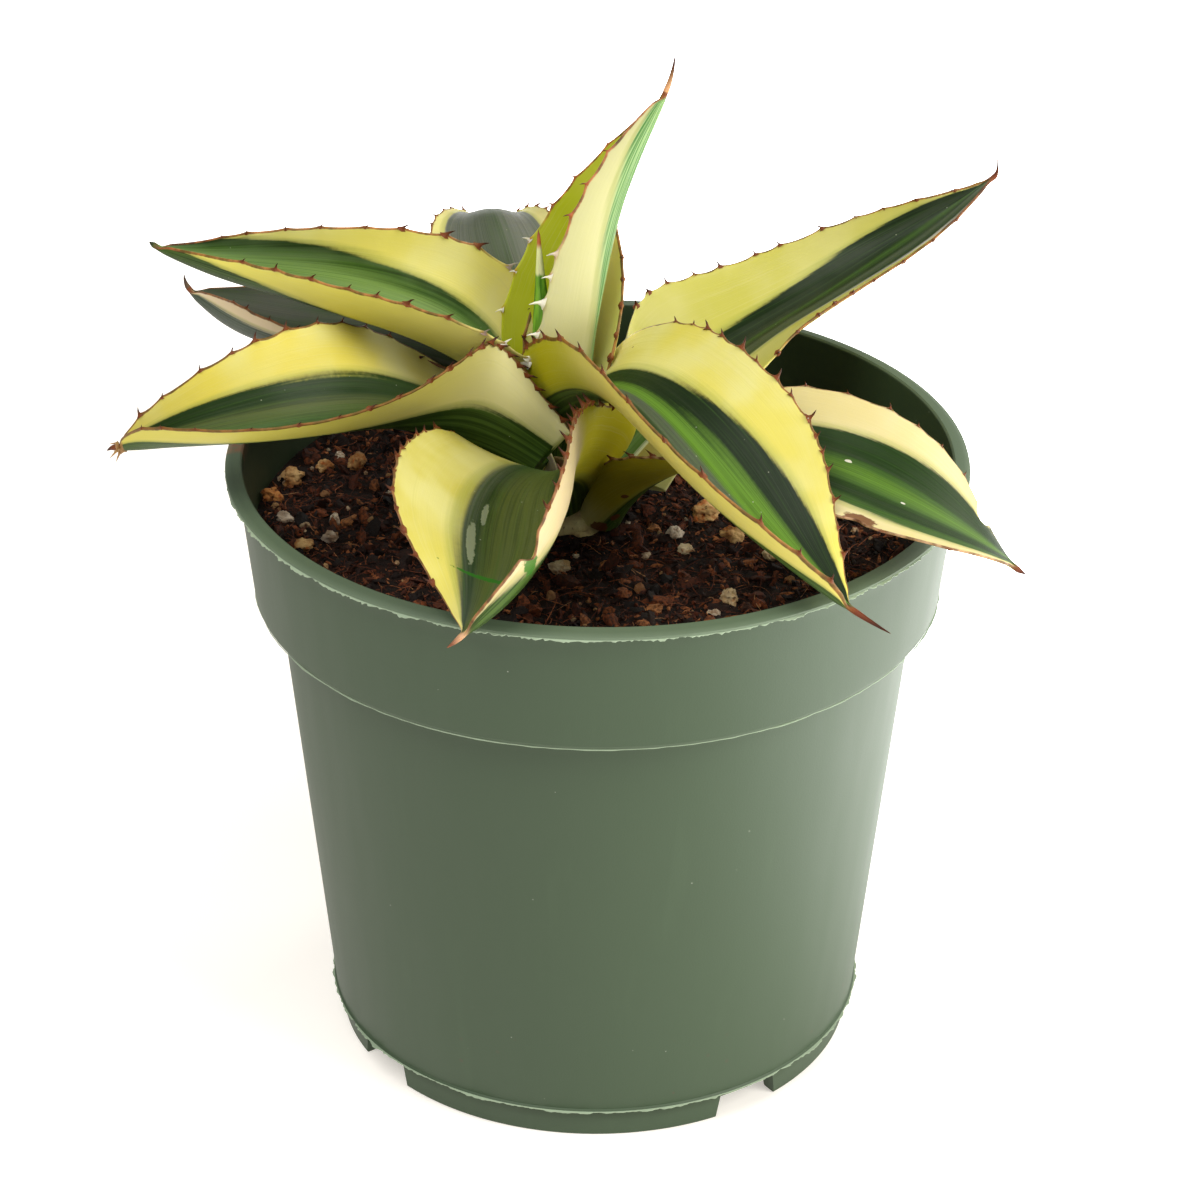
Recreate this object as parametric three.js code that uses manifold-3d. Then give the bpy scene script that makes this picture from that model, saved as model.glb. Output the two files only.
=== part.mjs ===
// A variegated agave in a round nursery pot.
// Millimetres, +Z up; the plant faces -Y. The origin lies under the middle of the whole plant's
// box, in the plane that the foot rests on. Every size and place below is taken from the pot's
// axis, which stands at potAxis.

import * as THREE from 'three';
import { mergeVertices } from 'three/addons/utils/BufferGeometryUtils.js';
import Module from 'manifold-3d';

const wasm = await Module();
wasm.setup();

// ---------- driving dimensions ----------

const clearance = 0.3;              // gap between pieces that touch
const potAxis = { x: 5.9, y: 1.8 };

const pot = {
  height: 138,
  lipRadius: 80,                    // a 6 inch nursery pot, measured over its lip
  lipHeight: 1.6,
  lipOverhang: 2.2,
  bandDrop: 30,                     // depth of the stiffening band below the top
  bandTaper: 0.11,                  // radius lost per mm of depth
  wallBottomRadius: 59.2,
  wallTaper: 0.103,
  wall: 1.4,
  footHeight: 7.6,
  footRadius: 57.6,
  footWall: 3.6,
  floorUnderside: 6,
  floorTop: 8,
  edge: 0.4,                        // softening of the moulded edges
  segments: 72,
};

const notch = {
  count: 4,
  firstAngle: -54,                  // degrees round from +X
  halfAngle: 8.6,
  height: 5.6,
  slant: 1.4,                       // how much narrower each side is at the top
  past: 3,                          // how far the cut runs past the ring
};

const drain = { radius: 6, ringRadius: 44, sides: 20 };

const soil = {
  level: 121.5,
  rings: 7,
  segments: 48,
  waves: [
    { height: 0.7, x: 17, y: 21, phase: 0.6 },
    { height: 0.45, x: 7.3, y: 6.1, phase: 2 },
  ],
};

const stem = {
  x: -6,
  y: 2,
  bottom: 108,
  top: 138,
  bottomRadius: 10,
  waistRadius: 9,
  topRadius: 4.6,
  round: 1,
  sides: 24,
};

// Each leaf starts on the stem at side (degrees), out (mm from the stem's axis) and up (mm).
// turn is its heading and rise its slope at four places from base to tip, in degrees.
// roll tips it about its midrib, and fold is the slope of its margins, at base, middle and tip.
// lean folds the right margin less and the left one more, and curl sets how near to the midrib
// the fold begins. base is the base's share of the width, widest is where the blade is broadest,
// and taper shapes the run from there to the tip.
const leaves = {
  leaf_top: {
    side: 20, out: 2, up: 139, length: 81.5, width: 39, spine: 8,
    turn: [18, 19, 18, 17], rise: [92, 81, 71, 66], roll: [-8, 8, -29], fold: [98, 92, 90],
    lean: -0.28, curl: 0.6, base: 0.8, widest: 0.28, taper: 1.6,
  },
  leaf_rear_right: {
    side: 75, out: 5, up: 136, length: 57, width: 29, spine: 4,
    turn: [70, 66, 74, 76], rise: [87, 73, 69, 70], roll: [0, -2, 0], fold: [75, 67, 51],
    lean: 0, curl: 0.6, base: 0.8, widest: 0.4, taper: 1.8,
  },
  leaf_upper_left: {
    side: 165, out: 5.6, up: 139, length: 97.5, width: 42, spine: 4,
    turn: [168, 177, 174, 161], rise: [63, 30, 10, 24], roll: [43, -29, 6], fold: [34, 88, 84],
    lean: 0.06, curl: 0.5, base: 0.64, widest: 0.35, taper: 1.8,
  },
  leaf_front_right: {
    side: -90, out: 4, up: 136.7, length: 112, width: 44.5, spine: 8.5,
    turn: [-55, -60, -52, -20], rise: [92, 12, -22, -28], roll: [10, 12, 0], fold: [87, 57, 60],
    lean: -0.45, curl: 0.5, base: 0.75, widest: 0.6, taper: 1.8,
  },
  leaf_upper_right: {
    side: 29, out: 7.4, up: 134, length: 118, width: 45, spine: 5,
    turn: [55, 42, 26, 10], rise: [17, 12, 25, 35], roll: [45, -13, 53], fold: [90, 47, 75],
    lean: 0.44, curl: 0.6, base: 0.76, widest: 0.35, taper: 1.3,
  },
  leaf_rear_left: {
    side: 120, out: 7, up: 133, length: 86, width: 38, spine: 5,
    turn: [119, 111, 96, 91], rise: [69, 33, 2, -38], roll: [0, -2, 0], fold: [60, 47, 47],
    lean: 0, curl: 0.6, base: 0.8, widest: 0.39, taper: 1.85,
  },
  leaf_middle_left: {
    side: 160, out: 6.8, up: 133.4, length: 95, width: 32.5, spine: 4,
    turn: [159, 162, 159, 150], rise: [84, 11, -3, 41], roll: [-2, -2, 5], fold: [57, 43, 86],
    lean: 0.23, curl: 0.6, base: 0.8, widest: 0.65, taper: 2.4,
  },
  leaf_lower_left: {
    side: 194, out: 8.2, up: 132.4, length: 100, width: 45.5, spine: 3,
    turn: [152, 213, 192, 149], rise: [27, 21, -3, -16], roll: [64, -18, -20], fold: [98, 55, 98],
    lean: 0.2, curl: 0.3, base: 0.59, widest: 0.25, taper: 2.6,
  },
  leaf_front_left: {
    side: -100, out: 8, up: 127, length: 89, width: 54, spine: 4.5,
    turn: [-87, -107, -94, -143], rise: [70, 15, -5, -29], roll: [20, -5, 4], fold: [30, 74, 62],
    lean: 0.44, curl: 0.7, base: 0.6, widest: 0.65, taper: 2,
  },
  leaf_lower_right: {
    side: -37, out: 9.9, up: 123, length: 115, width: 34.5, spine: 3,
    turn: [-49, -38, -31, -7], rise: [58, 27, -7, -37], roll: [0, 21, -14], fold: [90, 32, 6],
    lean: -0.32, curl: 0.65, base: 0.6, widest: 0.65, taper: 2.5,
  },
};

const blade = {
  stations: 16,
  across: 8,
  spineStations: 3,
  midribBase: 4.4,                  // thickness at the midrib, at base and tip
  midribTip: 1.5,
  thinning: 1.4,                    // the midrib is thin before the tip is reached
  margin: 0.9,
  foldSteps: 10,
  spineRadius: 0.9,
  pointRadius: 0.15,
};

const spear = {
  x: -10.5,
  y: 1.5,
  bottom: 141,
  top: 194,
  radius: 2.3,
  lean: -3.2,
  sides: 12,
  // pairs of share of the height and share of the radius
  shape: [[0, 0.7], [0.2, 1], [0.55, 0.86], [0.82, 0.5], [0.98, 0.2]],
};

const lumpLift = 0.35;              // how far a lump's middle is above the soil, in half heights
const knobs = { side: 0.14, top: 0.08, pitch: [3.1, 2.7, 4.3] };

// Lumps on the soil: place, half lengths along, across and up, turn in degrees, and tone.
const lumps = {
  pumice_1: { x: -67.5, y: 19, size: [3, 2.5, 2.2], turn: 20, tone: 'tan' },
  pumice_2: { x: -71, y: 9.5, size: [2.6, 2.2, 2], turn: -20, tone: 'rust' },
  pumice_3: { x: -63, y: -13.5, size: [2.8, 1.9, 1.7], turn: -30, tone: 'tan' },
  pumice_4: { x: -60.5, y: 24.5, size: [2.2, 1.7, 1.6], turn: 0, tone: 'tan' },
  pumice_5: { x: -53.5, y: 26, size: [2.4, 1.9, 2], turn: 50, tone: 'tan' },
  pumice_6: { x: 23.5, y: 1.5, size: [4.3, 2.4, 2.3], turn: -45, tone: 'tan' },
  pumice_7: { x: 29, y: -8, size: [2.9, 2.2, 2], turn: 10, tone: 'tan' },
  pumice_8: { x: 37.5, y: -17, size: [2.4, 1.9, 1.8], turn: -60, tone: 'cream' },
  pumice_9: { x: 27.5, y: -35, size: [1.9, 2.6, 2.1], turn: 15, tone: 'cream' },
  perlite_1: { x: -67.5, y: -1.8, size: [2.6, 1.9, 1.8], turn: 20, tone: 'white' },
  perlite_2: { x: -57.5, y: -9, size: [1.9, 1.5, 1.4], turn: 0, tone: 'white' },
  perlite_3: { x: 16.5, y: -8.5, size: [2.3, 1.6, 1.7], turn: 35, tone: 'white' },
  perlite_4: { x: 19, y: -14.5, size: [2, 1.3, 1.3], turn: 5, tone: 'cream' },
  perlite_5: { x: -8, y: -23.5, size: [2.6, 2, 1.8], turn: -15, tone: 'cream' },
  bark_1: { x: 38, y: 52, size: [3.6, 1.8, 1.5], turn: 40, tone: 'bark' },
  bark_2: { x: 31.5, y: -39, size: [1.7, 1.4, 1.3], turn: 70, tone: 'bark' },
};

const tones = {
  tan: '#b98a4e',
  rust: '#a5602c',
  cream: '#cbb893',
  white: '#d9d2c6',
  bark: '#5b3520',
};

// ---------- small helpers ----------

const radians = THREE.MathUtils.degToRad;

function solidOf(geometry) {
  const bare = geometry.clone();
  bare.deleteAttribute('normal');
  bare.deleteAttribute('uv');
  const merged = mergeVertices(bare, 1e-4);
  const vertProperties = new Float32Array(merged.attributes.position.array);
  const triVerts = new Uint32Array(merged.index.array);
  return new wasm.Manifold(new wasm.Mesh({ numProp: 3, vertProperties, triVerts }));
}

function geometryOf(solid) {
  const mesh = solid.getMesh();
  const geometry = new THREE.BufferGeometry();
  const points = new Float32Array(mesh.numVert * 3);
  for (let i = 0; i < mesh.numVert; i += 1) {
    const first = i * mesh.numProp;
    points.set(mesh.vertProperties.subarray(first, first + 3), 3 * i);
  }
  geometry.setAttribute('position', new THREE.BufferAttribute(points, 3));
  geometry.setIndex(new THREE.BufferAttribute(new Uint32Array(mesh.triVerts), 1));
  geometry.computeVertexNormals();
  return geometry;
}

function largestPiece(solid) {
  const pieces = solid.decompose();
  return pieces.reduce((best, piece) => (piece.volume() > best.volume() ? piece : best));
}

// The value at s, from 0 to 1, of the smooth curve through evenly spaced values.
function along(values, s) {
  const last = values.length - 1;
  return values.reduce((sum, value, i) => {
    let weight = 1;
    for (let j = 0; j <= last; j += 1) {
      weight *= j === i ? 1 : (s * last - j) / (i - j);
    }
    return sum + value * weight;
  }, 0);
}

// ---------- leaves ----------

function halfWidth(leaf, s) {
  const opening = THREE.MathUtils.smoothstep(s, 0, leaf.widest);
  const closing = Math.max((s - leaf.widest) / (1 - leaf.widest), 0);
  return (leaf.width / 2) * (leaf.base + (1 - leaf.base) * opening) * (1 - closing ** leaf.taper);
}

// The direction at an angle from the first of two directions towards the second.
function between(first, second, angle) {
  return first.clone().multiplyScalar(Math.cos(angle)).addScaledVector(second, Math.sin(angle));
}

// The midrib as a list of stations, each with its point and its own three directions.
function midrib(leaf, count) {
  const point = new THREE.Vector3(
    stem.x + leaf.out * Math.cos(radians(leaf.side)),
    stem.y + leaf.out * Math.sin(radians(leaf.side)),
    leaf.up,
  );
  const stations = [];
  for (let i = 0; i <= count; i += 1) {
    const s = i / count;
    const heading = radians(along(leaf.turn, s));
    const slope = radians(along(leaf.rise, s));
    const roll = radians(along(leaf.roll, s));
    const forward = new THREE.Vector3(
      Math.cos(slope) * Math.cos(heading),
      Math.cos(slope) * Math.sin(heading),
      Math.sin(slope),
    );
    const level = new THREE.Vector3(-Math.sin(heading), Math.cos(heading), 0);
    const upright = forward.clone().cross(level);
    const left = between(level, upright, roll);
    const up = between(upright, level, -roll);
    if (i > 0) {
      const middle = stations[i - 1].forward.clone().add(forward).multiplyScalar(0.5);
      point.addScaledVector(middle, leaf.length / count);
    }
    stations.push({ s, forward, left, up, point: point.clone() });
  }
  return stations;
}

// A point of the blade's middle surface, q from -1 at the right margin to 1 at the left one.
function bladePoint(leaf, station, q) {
  const fold = radians(along(leaf.fold, station.s)) * (1 + leaf.lean * Math.sign(q));
  const step = (halfWidth(leaf, station.s) * q) / blade.foldSteps;
  const point = station.point.clone();
  for (let k = 0; k < blade.foldSteps; k += 1) {
    const share = ((k + 0.5) / blade.foldSteps) * Math.abs(q);
    const slope = Math.sign(q) * fold * share ** leaf.curl;
    point.addScaledVector(between(station.left, station.up, slope), step);
  }
  return { point, slope: Math.sign(q) * fold * Math.abs(q) ** leaf.curl };
}

function bladeThickness(s, q) {
  const thinned = Math.min(blade.thinning * s, 1);
  const middle = THREE.MathUtils.lerp(blade.midribBase, blade.midribTip, thinned);
  return THREE.MathUtils.lerp(middle, blade.margin, q * q);
}

// One closed ring of points across the blade: upper face from right to left, then the lower face.
function bladeRing(leaf, station, grow) {
  const upper = [];
  const lower = [];
  for (let j = 0; j <= blade.across; j += 1) {
    const q = (2 * j) / blade.across - 1;
    const { point, slope } = bladePoint(leaf, station, q);
    const normal = between(station.up, station.left, -slope);
    const half = bladeThickness(station.s, q) / 2 + grow;
    point.addScaledVector(between(station.left, station.up, slope), grow * q);
    upper.push(point.clone().addScaledVector(normal, half));
    lower.push(point.clone().addScaledVector(normal, -half));
  }
  return [...upper, ...lower.reverse()];
}

// The spine's rings are round, and their points follow the order of the blade's.
function spineRing(station, distance, radius) {
  const centre = station.point.clone().addScaledVector(station.forward, distance);
  const count = 2 * (blade.across + 1);
  return Array.from({ length: count }, (_, j) => {
    const angle = Math.PI - ((j + 0.5) / count) * 2 * Math.PI;
    return centre.clone().addScaledVector(between(station.left, station.up, angle), radius);
  });
}

// Joins rings of equal count into a closed skin, with a strip of faces across each end.
function skin(rings) {
  const count = rings[0].length;
  const faces = [];
  for (let i = 0; i < rings.length - 1; i += 1) {
    for (let j = 0; j < count; j += 1) {
      const a = i * count + j;
      const b = i * count + ((j + 1) % count);
      faces.push(a, b + count, b, a, a + count, b + count);
    }
  }
  const endFaces = (first) => {
    const strip = [];
    for (let j = 0; j < count / 2 - 1; j += 1) {
      const [a, b] = [first + j, first + j + 1];
      const [c, d] = [first + count - 2 - j, first + count - 1 - j];
      strip.push([a, b, c], [a, c, d]);
    }
    return strip;
  };
  endFaces(0).forEach((face) => faces.push(...face));
  endFaces((rings.length - 1) * count).forEach((face) => faces.push(...face.reverse()));
  const geometry = new THREE.BufferGeometry().setFromPoints(rings.flat());
  geometry.setIndex(faces);
  return geometry;
}

function leafGeometry(leaf, grow = 0) {
  const stations = midrib(leaf, blade.stations);
  const tip = stations[blade.stations];
  const rings = stations.slice(0, -1).map((station) => bladeRing(leaf, station, grow));
  for (let k = 0; k < blade.spineStations; k += 1) {
    const t = k / (blade.spineStations - 1);
    const radius = THREE.MathUtils.lerp(blade.spineRadius, blade.pointRadius, t);
    rings.push(spineRing(tip, leaf.spine * t, radius + grow));
  }
  return skin(rings);
}

// ---------- pot ----------

const wallRadius = (z) => pot.wallBottomRadius + pot.wallTaper * (z - pot.footHeight);
const bandBottom = pot.height - pot.bandDrop;
const bandRadius = (z) => (
  pot.lipRadius - pot.lipOverhang - pot.bandTaper * (pot.height - z)
);

// The inside of the pot as (radius, height) points, from the floor up to the rim.
function innerProfile(gap = 0) {
  const inset = pot.wall + gap;
  const corner = pot.floorTop + pot.wall;
  return [
    [wallRadius(corner) - inset - pot.wall, pot.floorTop + gap],
    [wallRadius(corner) - inset, corner + gap],
    [wallRadius(bandBottom) - inset, bandBottom],
    [bandRadius(bandBottom) - inset, bandBottom + 2 * pot.wall],
    [bandRadius(pot.height) - inset, pot.height - pot.edge],
  ];
}

function lathe(profile, segments) {
  const points = profile.map(([radius, height]) => new THREE.Vector2(radius, height));
  return new THREE.LatheGeometry(points, segments).rotateX(Math.PI / 2);
}

function potShell() {
  const { edge, height, footHeight, footRadius } = pot;
  const lipBottom = height - pot.lipHeight;
  const footInside = footRadius - pot.footWall;
  const outside = [
    [0, pot.floorUnderside],
    [footInside, pot.floorUnderside],
    [footInside, 0],
    [footRadius, 0],
    [footRadius + edge, footHeight - edge],
    [pot.wallBottomRadius + edge, footHeight - edge / 2],
    [wallRadius(footHeight + edge), footHeight + edge],
    [wallRadius(bandBottom - 2 * edge), bandBottom - 2 * edge],
    [wallRadius(bandBottom) + 2 * edge, bandBottom],
    [bandRadius(bandBottom) - edge, bandBottom],
    [bandRadius(bandBottom), bandBottom + 2 * edge],
    [bandRadius(lipBottom), lipBottom - edge],
    [pot.lipRadius - edge, lipBottom],
    [pot.lipRadius, lipBottom + edge],
    [pot.lipRadius - edge / 2, height - 2 * edge],
    [pot.lipRadius - pot.wall, height - edge / 2],
    [bandRadius(height) - pot.wall + edge, height],
  ];
  return solidOf(lathe([...outside, ...innerProfile().reverse(), [0, pot.floorTop]], pot.segments));
}

// A notch is a slot through the foot ring, wider at the ground than at its top.
function footNotch(angle) {
  const half = pot.footRadius * Math.sin(radians(notch.halfAngle));
  const outline = new THREE.Shape([
    new THREE.Vector2(-half, -notch.past),
    new THREE.Vector2(half, -notch.past),
    new THREE.Vector2(half - notch.slant, notch.height),
    new THREE.Vector2(-half + notch.slant, notch.height),
  ]);
  const depth = pot.footWall + 2 * notch.past;
  const geometry = new THREE.ExtrudeGeometry(outline, { depth, bevelEnabled: false });
  geometry.rotateX(Math.PI / 2).rotateZ(Math.PI / 2);
  geometry.translate(pot.footRadius - pot.footWall - notch.past, 0, 0).rotateZ(angle);
  return solidOf(geometry);
}

function drainHole(angle) {
  const depth = 3 * (pot.floorTop - pot.floorUnderside);
  const middle = (pot.floorTop + pot.floorUnderside) / 2;
  const geometry = new THREE.CylinderGeometry(drain.radius, drain.radius, depth, drain.sides);
  geometry.rotateX(Math.PI / 2).translate(drain.ringRadius, 0, middle).rotateZ(angle);
  return solidOf(geometry);
}

function potSolid() {
  let solid = potShell();
  for (let i = 0; i < notch.count; i += 1) {
    const angle = radians(notch.firstAngle + (360 / notch.count) * i);
    solid = solid.subtract(footNotch(angle)).subtract(drainHole(angle));
  }
  return solid;
}

// ---------- soil and what lies on it ----------

function soilHeight(x, y) {
  return soil.waves.reduce((height, wave) => {
    const ripple = Math.sin(x / wave.x + wave.phase) * Math.cos(y / wave.y - wave.phase);
    return height + wave.height * ripple;
  }, soil.level);
}

function soilBlock() {
  const wall = innerProfile(clearance);
  const [below, above] = wall.slice(3);
  const share = (soil.level - below[1]) / (above[1] - below[1]);
  const edge = THREE.MathUtils.lerp(below[0], above[0], share);
  const profile = [[0, pot.floorTop + clearance], ...wall.slice(0, 4)];
  for (let i = soil.rings; i >= 0; i -= 1) {
    profile.push([(edge * i) / soil.rings, soil.level]);
  }
  const geometry = lathe(profile, soil.segments);
  const points = geometry.attributes.position;
  for (let i = 0; i < points.count; i += 1) {
    const onTop = Math.abs(points.getZ(i) - soil.level) < 1e-3;
    if (onTop) {
      points.setZ(i, soilHeight(points.getX(i), points.getY(i)));
    }
  }
  return solidOf(geometry);
}

function lumpSolid(lump, seed, grow = 0) {
  const geometry = new THREE.IcosahedronGeometry(1, 1);
  const points = geometry.attributes.position;
  const [length, width, height] = lump.size;
  const [pitchX, pitchY, pitchZ] = knobs.pitch;
  for (let i = 0; i < points.count; i += 1) {
    const [x, y, z] = [points.getX(i), points.getY(i), points.getZ(i)];
    const side = knobs.side * Math.sin(pitchX * x + seed) * Math.cos(pitchY * y - seed);
    const top = knobs.top * Math.sin(pitchZ * z + 2 * seed);
    const bulge = 1 + side + top;
    points.setXYZ(i, x * (bulge * length + grow), y * (bulge * width + grow), z * (bulge * height + grow));
  }
  geometry.rotateZ(radians(lump.turn));
  geometry.translate(lump.x, lump.y, soilHeight(lump.x, lump.y) + lumpLift * height);
  return solidOf(geometry);
}

// ---------- stem and spear ----------

function stemSolid(grow = 0) {
  const { bottom, top, bottomRadius, waistRadius, topRadius, round } = stem;
  const profile = [
    [0, bottom - grow],
    [bottomRadius - round + grow, bottom - grow],
    [bottomRadius + grow, bottom + round],
    [waistRadius + grow, (bottom + top) / 2],
    [topRadius + grow, top - round],
    [topRadius - round + grow, top + grow],
    [0, top + grow],
  ];
  return solidOf(lathe(profile, stem.sides).translate(stem.x, stem.y, 0));
}

// The youngest leaves, still rolled into a pointed spear.
function spearSolid(grow = 0) {
  const { bottom, top, radius, lean, shape } = spear;
  const height = top - bottom;
  const sides = shape.map(([up, share]) => [share * radius + grow, bottom + up * height]);
  const profile = [[0, bottom - grow], [sides[0][0], bottom - grow], ...sides.slice(1), [0, top + grow]];
  const geometry = lathe(profile, spear.sides);
  const points = geometry.attributes.position;
  for (let i = 0; i < points.count; i += 1) {
    const share = (points.getZ(i) - bottom) / height;
    points.setX(i, points.getX(i) + spear.x + lean * share);
    points.setY(i, points.getY(i) + spear.y);
  }
  return solidOf(geometry);
}

// ---------- assembly ----------

const pottedPlant = new THREE.Group();
pottedPlant.position.set(potAxis.x, potAxis.y, 0);

const group = new THREE.Group();
group.add(pottedPlant);

function add(name, solid, look) {
  const mesh = new THREE.Mesh(geometryOf(solid), new THREE.MeshStandardMaterial(look));
  mesh.name = name;
  pottedPlant.add(mesh);
}

// Inner leaves keep their shape, and each outer one is cut back where it would run into them.
const stemGrown = stemSolid(clearance);
let inner = stemGrown.add(spearSolid(clearance));
const leafSolids = {};
for (const [name, leaf] of Object.entries(leaves)) {
  leafSolids[name] = largestPiece(solidOf(leafGeometry(leaf)).subtract(inner));
  inner = inner.add(solidOf(leafGeometry(leaf, clearance)));
}

let ground = soilBlock().subtract(inner);
Object.values(lumps).forEach((lump, i) => {
  ground = ground.subtract(lumpSolid(lump, i, clearance));
});

add('pot', potSolid(), { color: '#5f7862', roughness: 0.45, metalness: 0 });
add('soil', largestPiece(ground), { color: '#2a1a12', roughness: 0.95, metalness: 0 });
add('stem', stemSolid(), { color: '#c9c48e', roughness: 0.7, metalness: 0 });
add('central_spear', spearSolid(), { color: '#6fa032', roughness: 0.5, metalness: 0 });
for (const [name, solid] of Object.entries(leafSolids)) {
  add(name, solid, { color: '#b9bd62', roughness: 0.5, metalness: 0 });
}
Object.entries(lumps).forEach(([name, lump], i) => {
  add(name, lumpSolid(lump, i).subtract(inner), { color: tones[lump.tone], roughness: 0.9, metalness: 0 });
});

export default group;
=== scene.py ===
import math
import bpy
import numpy as np
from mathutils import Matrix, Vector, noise


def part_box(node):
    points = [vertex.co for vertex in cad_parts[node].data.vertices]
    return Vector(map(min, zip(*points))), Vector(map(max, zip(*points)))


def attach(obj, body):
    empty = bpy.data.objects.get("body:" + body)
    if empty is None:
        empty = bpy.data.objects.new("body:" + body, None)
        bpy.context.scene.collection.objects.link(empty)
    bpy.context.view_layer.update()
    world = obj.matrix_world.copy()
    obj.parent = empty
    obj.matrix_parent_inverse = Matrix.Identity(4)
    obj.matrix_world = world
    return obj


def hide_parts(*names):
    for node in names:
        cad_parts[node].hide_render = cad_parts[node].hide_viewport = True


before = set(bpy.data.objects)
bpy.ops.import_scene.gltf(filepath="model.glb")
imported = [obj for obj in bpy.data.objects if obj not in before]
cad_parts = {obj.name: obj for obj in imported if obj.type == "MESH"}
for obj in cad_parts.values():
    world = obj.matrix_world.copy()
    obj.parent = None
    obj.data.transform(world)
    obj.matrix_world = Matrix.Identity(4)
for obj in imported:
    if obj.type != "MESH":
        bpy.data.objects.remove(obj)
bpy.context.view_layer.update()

mm = 0.001
potLow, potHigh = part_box("pot")
axis = (potLow + potHigh) / 2                     # x and y of the pot's axis; pieces are shaped about it
axis.z = 0
stemPlace = (-6, 2)                               # x and y of the stem, mm from that axis
print("frame loaded:", len(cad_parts), "nodes")


def tone(red, green, blue):
    # a colour as a paint program shows it, turned into Blender's linear values
    def linear(c):
        c /= 255
        return c / 12.92 if c <= 0.04045 else ((c + 0.055) / 1.055) ** 2.4
    return (linear(red), linear(green), linear(blue), 1)


def smooth(x, low, high):
    t = np.clip((x - low) / (high - low), 0, 1)
    return t * t * (3 - 2 * t)


def wobble(x, y, seed):
    # smooth noise from -1 to 1 for arrays of places
    values = [noise.noise((a, b, seed)) for a, b in zip(np.ravel(x), np.ravel(y))]
    return np.array(values).reshape(np.shape(x))


def deselect():
    if bpy.context.mode != "OBJECT":
        toObject()
    bpy.ops.object.select_all(action="DESELECT")


def activate(piece):
    deselect()
    piece.select_set(True)
    bpy.context.view_layer.objects.active = piece


def named(name):
    piece = bpy.context.object
    piece.name = name
    piece.data.name = name
    return piece


def added(name, kind, **settings):
    # a new primitive, with its place in its mesh
    deselect()
    getattr(bpy.ops.mesh, "primitive_" + kind + "_add")(**settings)
    bpy.ops.object.transform_apply()
    return named(name)


def toEdit(action="SELECT", kind="VERT"):
    bpy.ops.object.mode_set(mode="EDIT")
    bpy.ops.mesh.select_mode(type=kind)
    bpy.ops.mesh.select_all(action=action)


def toObject():
    bpy.ops.object.mode_set(mode="OBJECT")


def cutAcross(heights):
    # cuts the active primitive level at heights along its length, for later bending
    toEdit()
    for height in heights:
        bpy.ops.mesh.select_all(action="SELECT")
        bpy.ops.mesh.bisect(plane_co=(0, 0, height), plane_no=(0, 0, 1))
    toObject()


def shapedBy(piece, kind, **settings):
    activate(piece)
    change = piece.modifiers.new("change", kind)
    for key, value in settings.items():
        setattr(change, key, value)
    bpy.ops.object.modifier_apply(modifier="change")


def around(radius, angle):
    return radius * np.cos(angle), radius * np.sin(angle)


def unit(vector):
    return vector / np.linalg.norm(vector)


def placesOf(piece):
    places = np.zeros(len(piece.data.vertices) * 3)
    piece.data.vertices.foreach_get("co", places)
    return places.reshape(-1, 3)


def putPlaces(piece, places):
    piece.data.vertices.foreach_set("co", np.ravel(places))
    piece.data.update()


def paintPoints(piece, name, values):
    layer = piece.data.attributes.new(name, "FLOAT", "POINT")
    layer.data.foreach_set("value", np.ravel(values).astype(np.float32))


def cleanUp(piece, distance=0.00001, outward=True):
    activate(piece)
    toEdit()
    bpy.ops.mesh.remove_doubles(threshold=distance)
    if outward:
        bpy.ops.mesh.normals_make_consistent(inside=False)
    toObject()


def joinAll(pieces, name):
    deselect()
    for piece in pieces:
        piece.select_set(True)
    bpy.context.view_layer.objects.active = pieces[0]
    bpy.ops.object.join()
    return named(name)


def copiesOf(piece, name, forms, paints):
    # one mesh with a copy of the piece for each array of places, in mm, and its own paint values
    count = len(piece.data.vertices)
    faces = [list(face.vertices) for face in piece.data.polygons]
    corners = [[v + i * count for v in face] for i in range(len(forms)) for face in faces]
    mesh = bpy.data.meshes.new(name)
    mesh.from_pydata((np.concatenate(forms) * mm).tolist(), [], corners)
    result = bpy.data.objects.new(name, mesh)
    bpy.context.scene.collection.objects.link(result)
    for key, values in paints.items():
        paintPoints(result, key, values)
    bpy.data.objects.remove(piece)
    return result


def finishPiece(piece, slot, nodes, material, angle=40):
    putPlaces(piece, placesOf(piece) + np.array(axis))
    piece.data.materials.clear()
    piece.data.materials.append(material)
    activate(piece)
    bpy.ops.object.shade_smooth_by_angle(angle=math.radians(angle))
    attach(piece, "root")
    if nodes:
        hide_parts(*nodes)


def operator(operation, swapped=False):
    # what an operator between two values does: it adds a Math node
    def result(self, other):
        pair = (other, self) if swapped else (self, other)
        return self.shader.math(operation, *pair)
    return result


class Value:                                      # a node's output that sums can use
    def __init__(self, shader, socket):
        self.shader = shader
        self.socket = socket

    def __abs__(self):
        return self.shader.math("ABSOLUTE", self)

    __add__ = __radd__ = operator("ADD")
    __mul__ = __rmul__ = operator("MULTIPLY")
    __sub__ = operator("SUBTRACT")
    __rsub__ = operator("SUBTRACT", True)
    __truediv__ = operator("DIVIDE")
    __rtruediv__ = operator("DIVIDE", True)


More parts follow.
